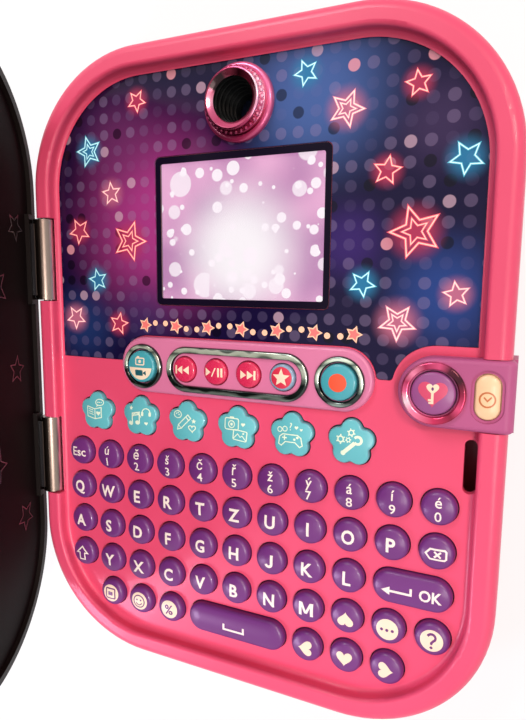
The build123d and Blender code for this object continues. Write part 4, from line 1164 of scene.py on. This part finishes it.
def book_icon():
    shape = ribbon([(0, -3.4), (-4.4, -2.5), (-4.4, 2.1), (0, 1.2), (3.4, 2.1), (3.4, -2.5)], line, True)
    shape += ribbon([(0, -3.4), (0, 1.2)], line)
    for height in (-1.0, 0.0, 1.0):
        shape += ribbon([(-3.5, height), (-0.9, height - 0.5)], 0.34)
    bubble = ribbon(ellipse(2.1, 1.4, steps=20), 0.36, True) + [[(-1.2, -1.0), (-0.2, -1.3), (-1.7, -2.1)]]
    for x in (-0.9, 0.0, 0.9):
        bubble += placed([ellipse(0.28, steps=8)], x)
    return shape + placed(bubble, 2.4, 4.3) + placed([heart_points(2.2)], 1.8, -0.8)


def note_icon():
    shape = placed([ellipse(1.2, 0.95)], -3.4, -2.6) + placed([ellipse(1.2, 0.95)], 0.4, -2.0)
    shape += ribbon([(-2.4, -2.6), (-2.4, 1.9), (1.4, 2.7), (1.4, -2.0)], 0.5)
    shape += ribbon([(-2.4, 0.9), (1.4, 1.7)], 0.5)
    shape += ribbon(ellipse(2.2, steps=14, start=10, sweep=160), 0.36)
    headphones = ribbon(ellipse(1.9, steps=12, start=0, sweep=180), 0.4)
    shape = placed(shape, -0.8, -0.6) + placed(headphones, 3.9, 2.0)
    for x in (2.1, 5.7):
        shape += placed([rounded(1.1, 1.9, 0.4, 3)], x, 1.5)
    return shape + placed([heart_points(1.7)], 3.9, -2.8) + placed([star_points(1.1)], -3.9, 3.6)


def pencil_icon():
    shape = ribbon([(-3.8, -3.2), (-3.2, -1.2), (1.4, 3.4), (2.8, 2.0), (-1.8, -2.6)], line, True)
    shape += ribbon([(0.5, 2.5), (1.9, 1.1)], line) + ribbon([(-3.2, -1.2), (-1.8, -2.6)], 0.34)
    shape += placed(ribbon(heart_points(3.2, 18), 0.4, True), 3.4, -2.4)
    shape += placed(ribbon(ellipse(1.9, 1.5, steps=18), 0.38, True), -3.6, 3.2)
    for x, y in ((-4.3, 3.5), (-3.5, 3.9), (-2.9, 3.1)):
        shape += placed([ellipse(0.3, steps=8)], x, y)
    return shape + placed([star_points(1.1)], 4.2, 0.9)


def photo_icon():
    shape = placed(ribbon(rounded(6.2, 4.6, 0.7, 3), line, True), -1.7, 1.9)
    shape += placed(ribbon(ellipse(1.4, steps=18), 0.38, True) + [ellipse(0.6, steps=12)], -1.7, 1.8)
    shape += placed([rounded(2.0, 0.8, 0.2, 2)], -1.7, 4.5)
    frame_icon = ribbon(rounded(5.8, 4.2, 0.5, 3), line, True)
    frame_icon += ribbon([(-2.6, -1.6), (-1.0, 0.6), (0.2, -0.6), (1.0, 0.1), (2.6, -1.6)], 0.36)
    shape += placed(frame_icon + placed([ellipse(0.4, steps=8)], 1.4, 1.1), 2.0, -2.6, -8)
    return shape + placed([heart_points(1.7)], 3.4, 1.9)


def pad_icon():
    outline = [
        (-3.0, 1.9), (3.0, 1.9), (4.4, 0.8), (4.9, -2.2), (3.8, -2.9), (2.0, -1.1), (-2.0, -1.1),
        (-3.8, -2.9), (-4.9, -2.2), (-4.4, 0.8),
    ]
    shape = ribbon(outline, line, True) + ribbon([(-3.3, 0.5), (-1.3, 0.5)], 0.5)
    shape += ribbon([(-2.3, -0.5), (-2.3, 1.5)], 0.5) + placed([ellipse(0.5, steps=10)], 1.8, 0.1)
    shape = placed(shape + placed([ellipse(0.5, steps=10)], 3.0, 0.9), 0, -1.4)
    for x in (-4.4, -2.2):
        shape += placed(ribbon(ellipse(0.95, steps=14), 0.34, True), x, 3.0 + 0.2 * x)
    shape += lettering("?", 2.9, 0.2, 3.6, weight=0.0) + placed([heart_points(1.5)], 2.5, 3.3)
    return shape + placed([heart_points(1.1)], 4.4, 2.6)


def tools_icon():
    shape = ribbon([(-2.5, -3.9), (1.9, 0.3)], 1.5) + placed([ellipse(0.95, steps=16)], -2.6, -4.0)
    shape += placed(ribbon(ellipse(1.4, steps=12, start=120, sweep=-290), 0.95), 2.9, 1.3, 25)
    gear = ribbon(ellipse(1.2, steps=16), 0.6, True)
    for tooth in range(6):
        gear += placed([[(-0.3, 1.3), (0.3, 1.3), (0.3, 2.1), (-0.3, 2.1)]], turn=60 * tooth)
    for x, y, turn, scale in ((-3.6, 1.2, 0, 0.9), (0.4, 4.0, 15, 0.75), (-0.6, 1.2, 40, 0.55)):
        shape += placed(gear, x, y, turn, scale)
    return shape


flower_icons = (book_icon, note_icon, pencil_icon, photo_icon, pad_icon, tools_icon)
for index, icon in enumerate(flower_icons):
    node = f"flower_button_{index + 1}"
    dress(teal_abs, node)
    x, y = middle_of(node)
    printed("icon_" + node, placed(icon(), x, y - 0.3), node, pale_ink, body=node)


# Media, lock and clock buttons
# Low domed caps: crimson for the player, teal for mode and record, grey-blue with a red star disc,
# violet for the lock and a peach oval with a painted glow for the clock. Their symbols are plain ones of
# their kind.

# The same gloss as the flowers'. The clock's cap has a faint painted glow, as if lit from below.
crimson_abs = moulded("crimson_abs", "#DE335F", "#D02853", 0.28, relief=0.002, coat=0.2)
grey_blue_abs = moulded("grey_blue_abs", "#8FA9C2", "#7D98B4", 0.28, relief=0.002, coat=0.2)
deep_teal_abs = moulded("deep_teal_abs", "#4BAAB8", "#3C9AA8", 0.3, relief=0.002, coat=0.2)
violet_abs = moulded("violet_abs", "#9E5290", "#8E4682", 0.36, relief=0.002, coat=0.12)
peach_painted_glow = moulded("peach_abs_painted_glow", "#F6D0A8", "#EEC296", 0.35, relief=0.002, coat=0.1, glow=0.08)
red_ink = ink("red_inlay", "#D8334F")
# The record dot's orange ink has a faint painted glow.
orange_ink_painted_glow = ink("orange_inlay_painted_glow", "#EE5638", glow=0.06)
rose_ink = ink("rose_inlay", "#D64A70")
clock_ink = ink("clock_ink", "#C8703C")
dark_teal_ink = ink("dark_teal_ink", "#1E5A66")
dress(crimson_abs, "previous_button", "play_button", "next_button")
dress(grey_blue_abs, "star_button")
dress(deep_teal_abs, "mode_button", "record_button")
dress(violet_abs, "lock_button")
dress(peach_painted_glow, "clock_button")


def symbol(node, shape, made=cream_ink, rise=0.06, tag="symbol"):
    shape = placed(shape, *middle_of(node))
    return printed(f"{tag}_{node}", shape, node, made, body=node, rise=rise)


def triangle(x, size, way=1):
    return [[(x, size), (x, -size), (x + way * size * 1.5, 0)]]


bar = [[(-0.4, 1.8), (-0.4, -1.8), (0.4, -1.8), (0.4, 1.8)]]
backward = triangle(-0.2, 1.75, -1) + triangle(2.75, 1.75, -1) + placed(bar, -3.3)
symbol("previous_button", backward)
symbol("next_button", placed(backward, turn=180))
play = triangle(-4.0, 1.7) + ribbon([(-1.1, -1.8), (0.6, 1.8)], 0.5) + placed(bar, 1.9) + placed(bar, 3.3)
symbol("play_button", play)
symbol("star_button", [ellipse(4.2, steps=40)], red_ink, tag="disc")
symbol("star_button", [star_points(3.6, 0.45)], rise=0.1)
symbol("record_button", [ellipse(3.4, steps=40)], orange_ink_painted_glow)
symbol("mode_button", [ellipse(5.6, steps=24, start=184, sweep=172)], tag="half")
still = placed(ribbon(rounded(4.2, 2.8, 0.4, 3), 0.5, True) + placed([ellipse(0.7, steps=14)]), 0, 2.3)
symbol("mode_button", still + placed([rounded(1.2, 0.6, 0.1, 2)], -1.0, 4.2), tag="still")
film = [rounded(3.8, 2.5, 0.3, 3), [(2.1, 0.2), (3.4, 1.0), (3.4, -1.0), (2.1, -0.2)]]
symbol("mode_button", placed(film, -0.5, -2.6), dark_teal_ink, rise=0.1, tag="film")

symbol("lock_button", placed([heart_points(9.8)], 0, -0.2), rose_ink, tag="heart")
bit = ribbon([(0, -1.0), (0, -5.0)], 0.85) + ribbon([(0, -3.7), (-1.4, -3.7)], 0.7)
bit += ribbon([(0, -4.65), (-1.2, -4.65)], 0.7)
symbol("lock_button", placed([heart_points(4.2)] + bit, 0, 1.6), rise=0.1, tag="key")
symbol("lock_button", placed([ellipse(0.42, 0.6, steps=12)], 0, 1.8), plum_ink, rise=0.13, tag="eye")
clock_face = ribbon(ellipse(2.4, steps=30), 0.55, True) + ribbon([(-1.1, 0.8), (0, -0.4), (1.3, 1.0)], 0.5)
symbol("clock_button", placed(clock_face, 0, -0.6), clock_ink)


# Lid
# Satin black ABS. Its lining is a black sheet with small star outlines pressed in and painted grey as
# painted glints, and its outside carries a printed sheet like that of the face panel.

# Degrees that the lid stands open, and the heights of its outside and its lining when it is shut.
lid_open = 70.0
lid_out_z = 39.8
liner_z = 33.8
line_depth = 0.08
axis = Vector((hinge_x, 0, hinge_z)) * mm
lid_turn = Matrix.Translation(axis) @ Matrix.Rotation(radians(-lid_open), 4, "Y") @ Matrix.Translation(-axis)
lid_glows = [
    # x, y, radius, colour, strength
    (-50.0, 70.0, 80.0, "#A83A86", 0.9),
    (60.0, 40.0, 70.0, "#4866A8", 0.8),
    (20.0, -80.0, 90.0, "#5A2E80", 0.9),
    (-70.0, -90.0, 50.0, "#23407C", 0.6),
]
lid_stars = [
    # x, y, reach, turn, ink, glow radius
    (-62.0, 88.0, 12.0, 20, "rose", 18.0),
    (40.0, 104.0, 8.0, 44, "aqua", 14.0),
    (62.0, 30.0, 13.0, 8, "blush", 19.0),
    (-30.0, 24.0, 9.0, 50, "aqua", 15.0),
    (-70.0, -30.0, 10.0, 30, "blush", 16.0),
    (14.0, -24.0, 7.0, 12, "rose", 12.0),
    (58.0, -70.0, 10.0, 36, "aqua", 16.0),
    (-20.0, -96.0, 13.0, 58, "rose", 20.0),
]
liner_stars = [
    # x, y, reach, turn
    (-60.0, 96.0, 7.0, 12), (-84.0, 60.0, 6.0, 30), (-66.0, 34.0, 8.5, 50), (-80.0, -2.0, 6.0, 8),
    (-60.0, -40.0, 7.5, 22), (-82.0, -70.0, 6.5, 44), (-40.0, -96.0, 8.0, 16), (-20.0, 60.0, 9.0, 36),
    (10.0, -20.0, 8.0, 60), (40.0, 60.0, 9.5, 20), (56.0, -60.0, 8.0, 48), (0.0, -80.0, 6.5, 5),
]


def lid_finish(tree):
    """Satin black, with the night print where the shut lid's outside is flat."""
    place = add(tree, "ShaderNodeTexCoord", out="Object")
    shut = lid_turn.inverted()
    turned_back = add(
        tree, "ShaderNodeMapping",
        {"Vector": place, "Location": shut.to_translation(), "Rotation": shut.to_euler()},
    )
    flat = add(tree, "ShaderNodeVectorMath", {0: turned_back, 1: (1, 1, 0)}, operation="MULTIPLY")
    height = add(tree, "ShaderNodeSeparateXYZ", {"Vector": turned_back}, out="Z")
    outside = add(
        tree, "ShaderNodeMapRange",
        {"Value": height, "From Min": (lid_out_z - 0.06) * mm, "From Max": (lid_out_z - 0.03) * mm},
    )
    inputs = under_sheet(tree, night_print(tree, flat, lid_glows, lid_stars))
    tones = {0: outside, 6: colour("#140E0D"), 7: inputs["Base Color"]}
    inputs["Base Color"] = add(tree, "ShaderNodeMix", tones, **of_colours)
    dull = add(tree, "ShaderNodeMapRange", {"Value": outside, "To Min": 0.34, "To Max": 0.15})
    inputs.update({"Roughness": dull, "Specular IOR Level": 0.2, "Coat Weight": 0.0})
    return inputs


dress(finish("lid_black_and_print", lid_finish), "lid_shell")
# Matt black sheet: it stays deep black beside the bright face.
dress(moulded("satin_black_sheet", "#140C0D", "#0E0808", 0.5, relief=0.002, shine=0.06), "lid_liner")


def laid(name, shape, z, made, thickness, reach=200.0):
    """Flat polygons on the lid, drawn with the lid closed at height z and turned open with it."""
    work = flat_mesh(shape, reach)
    thickened(work, thickness)
    bmesh.ops.transform(work, matrix=lid_turn @ Matrix.Translation((0, 0, z * mm)), verts=work.verts)
    return piece_of(name, work, made, "lid")


# Pressed lines, smooth and painted grey, so each shows as a thin painted glint.
pressed = moulded("pressed_line_painted_glint", "#4A3E44", "#2E2428", 0.2, relief=0.002, coat=0.3)
shape = []
for x, y, reach, turn in liner_stars:
    shape += placed(ribbon(star_points(reach), 0.5, True), x, y, turn)
laid("liner_stars", shape, liner_z - line_depth, pressed, line_depth)

for kind, (rims, cores) in neon(lid_stars).items():
    laid("lid_rims_" + kind, rims, lid_out_z + 0.03, rim_inks_painted_glow[kind], 0.04)
    laid("lid_cores_" + kind, cores, lid_out_z + 0.05, core_inks_painted_glow[kind], 0.04)
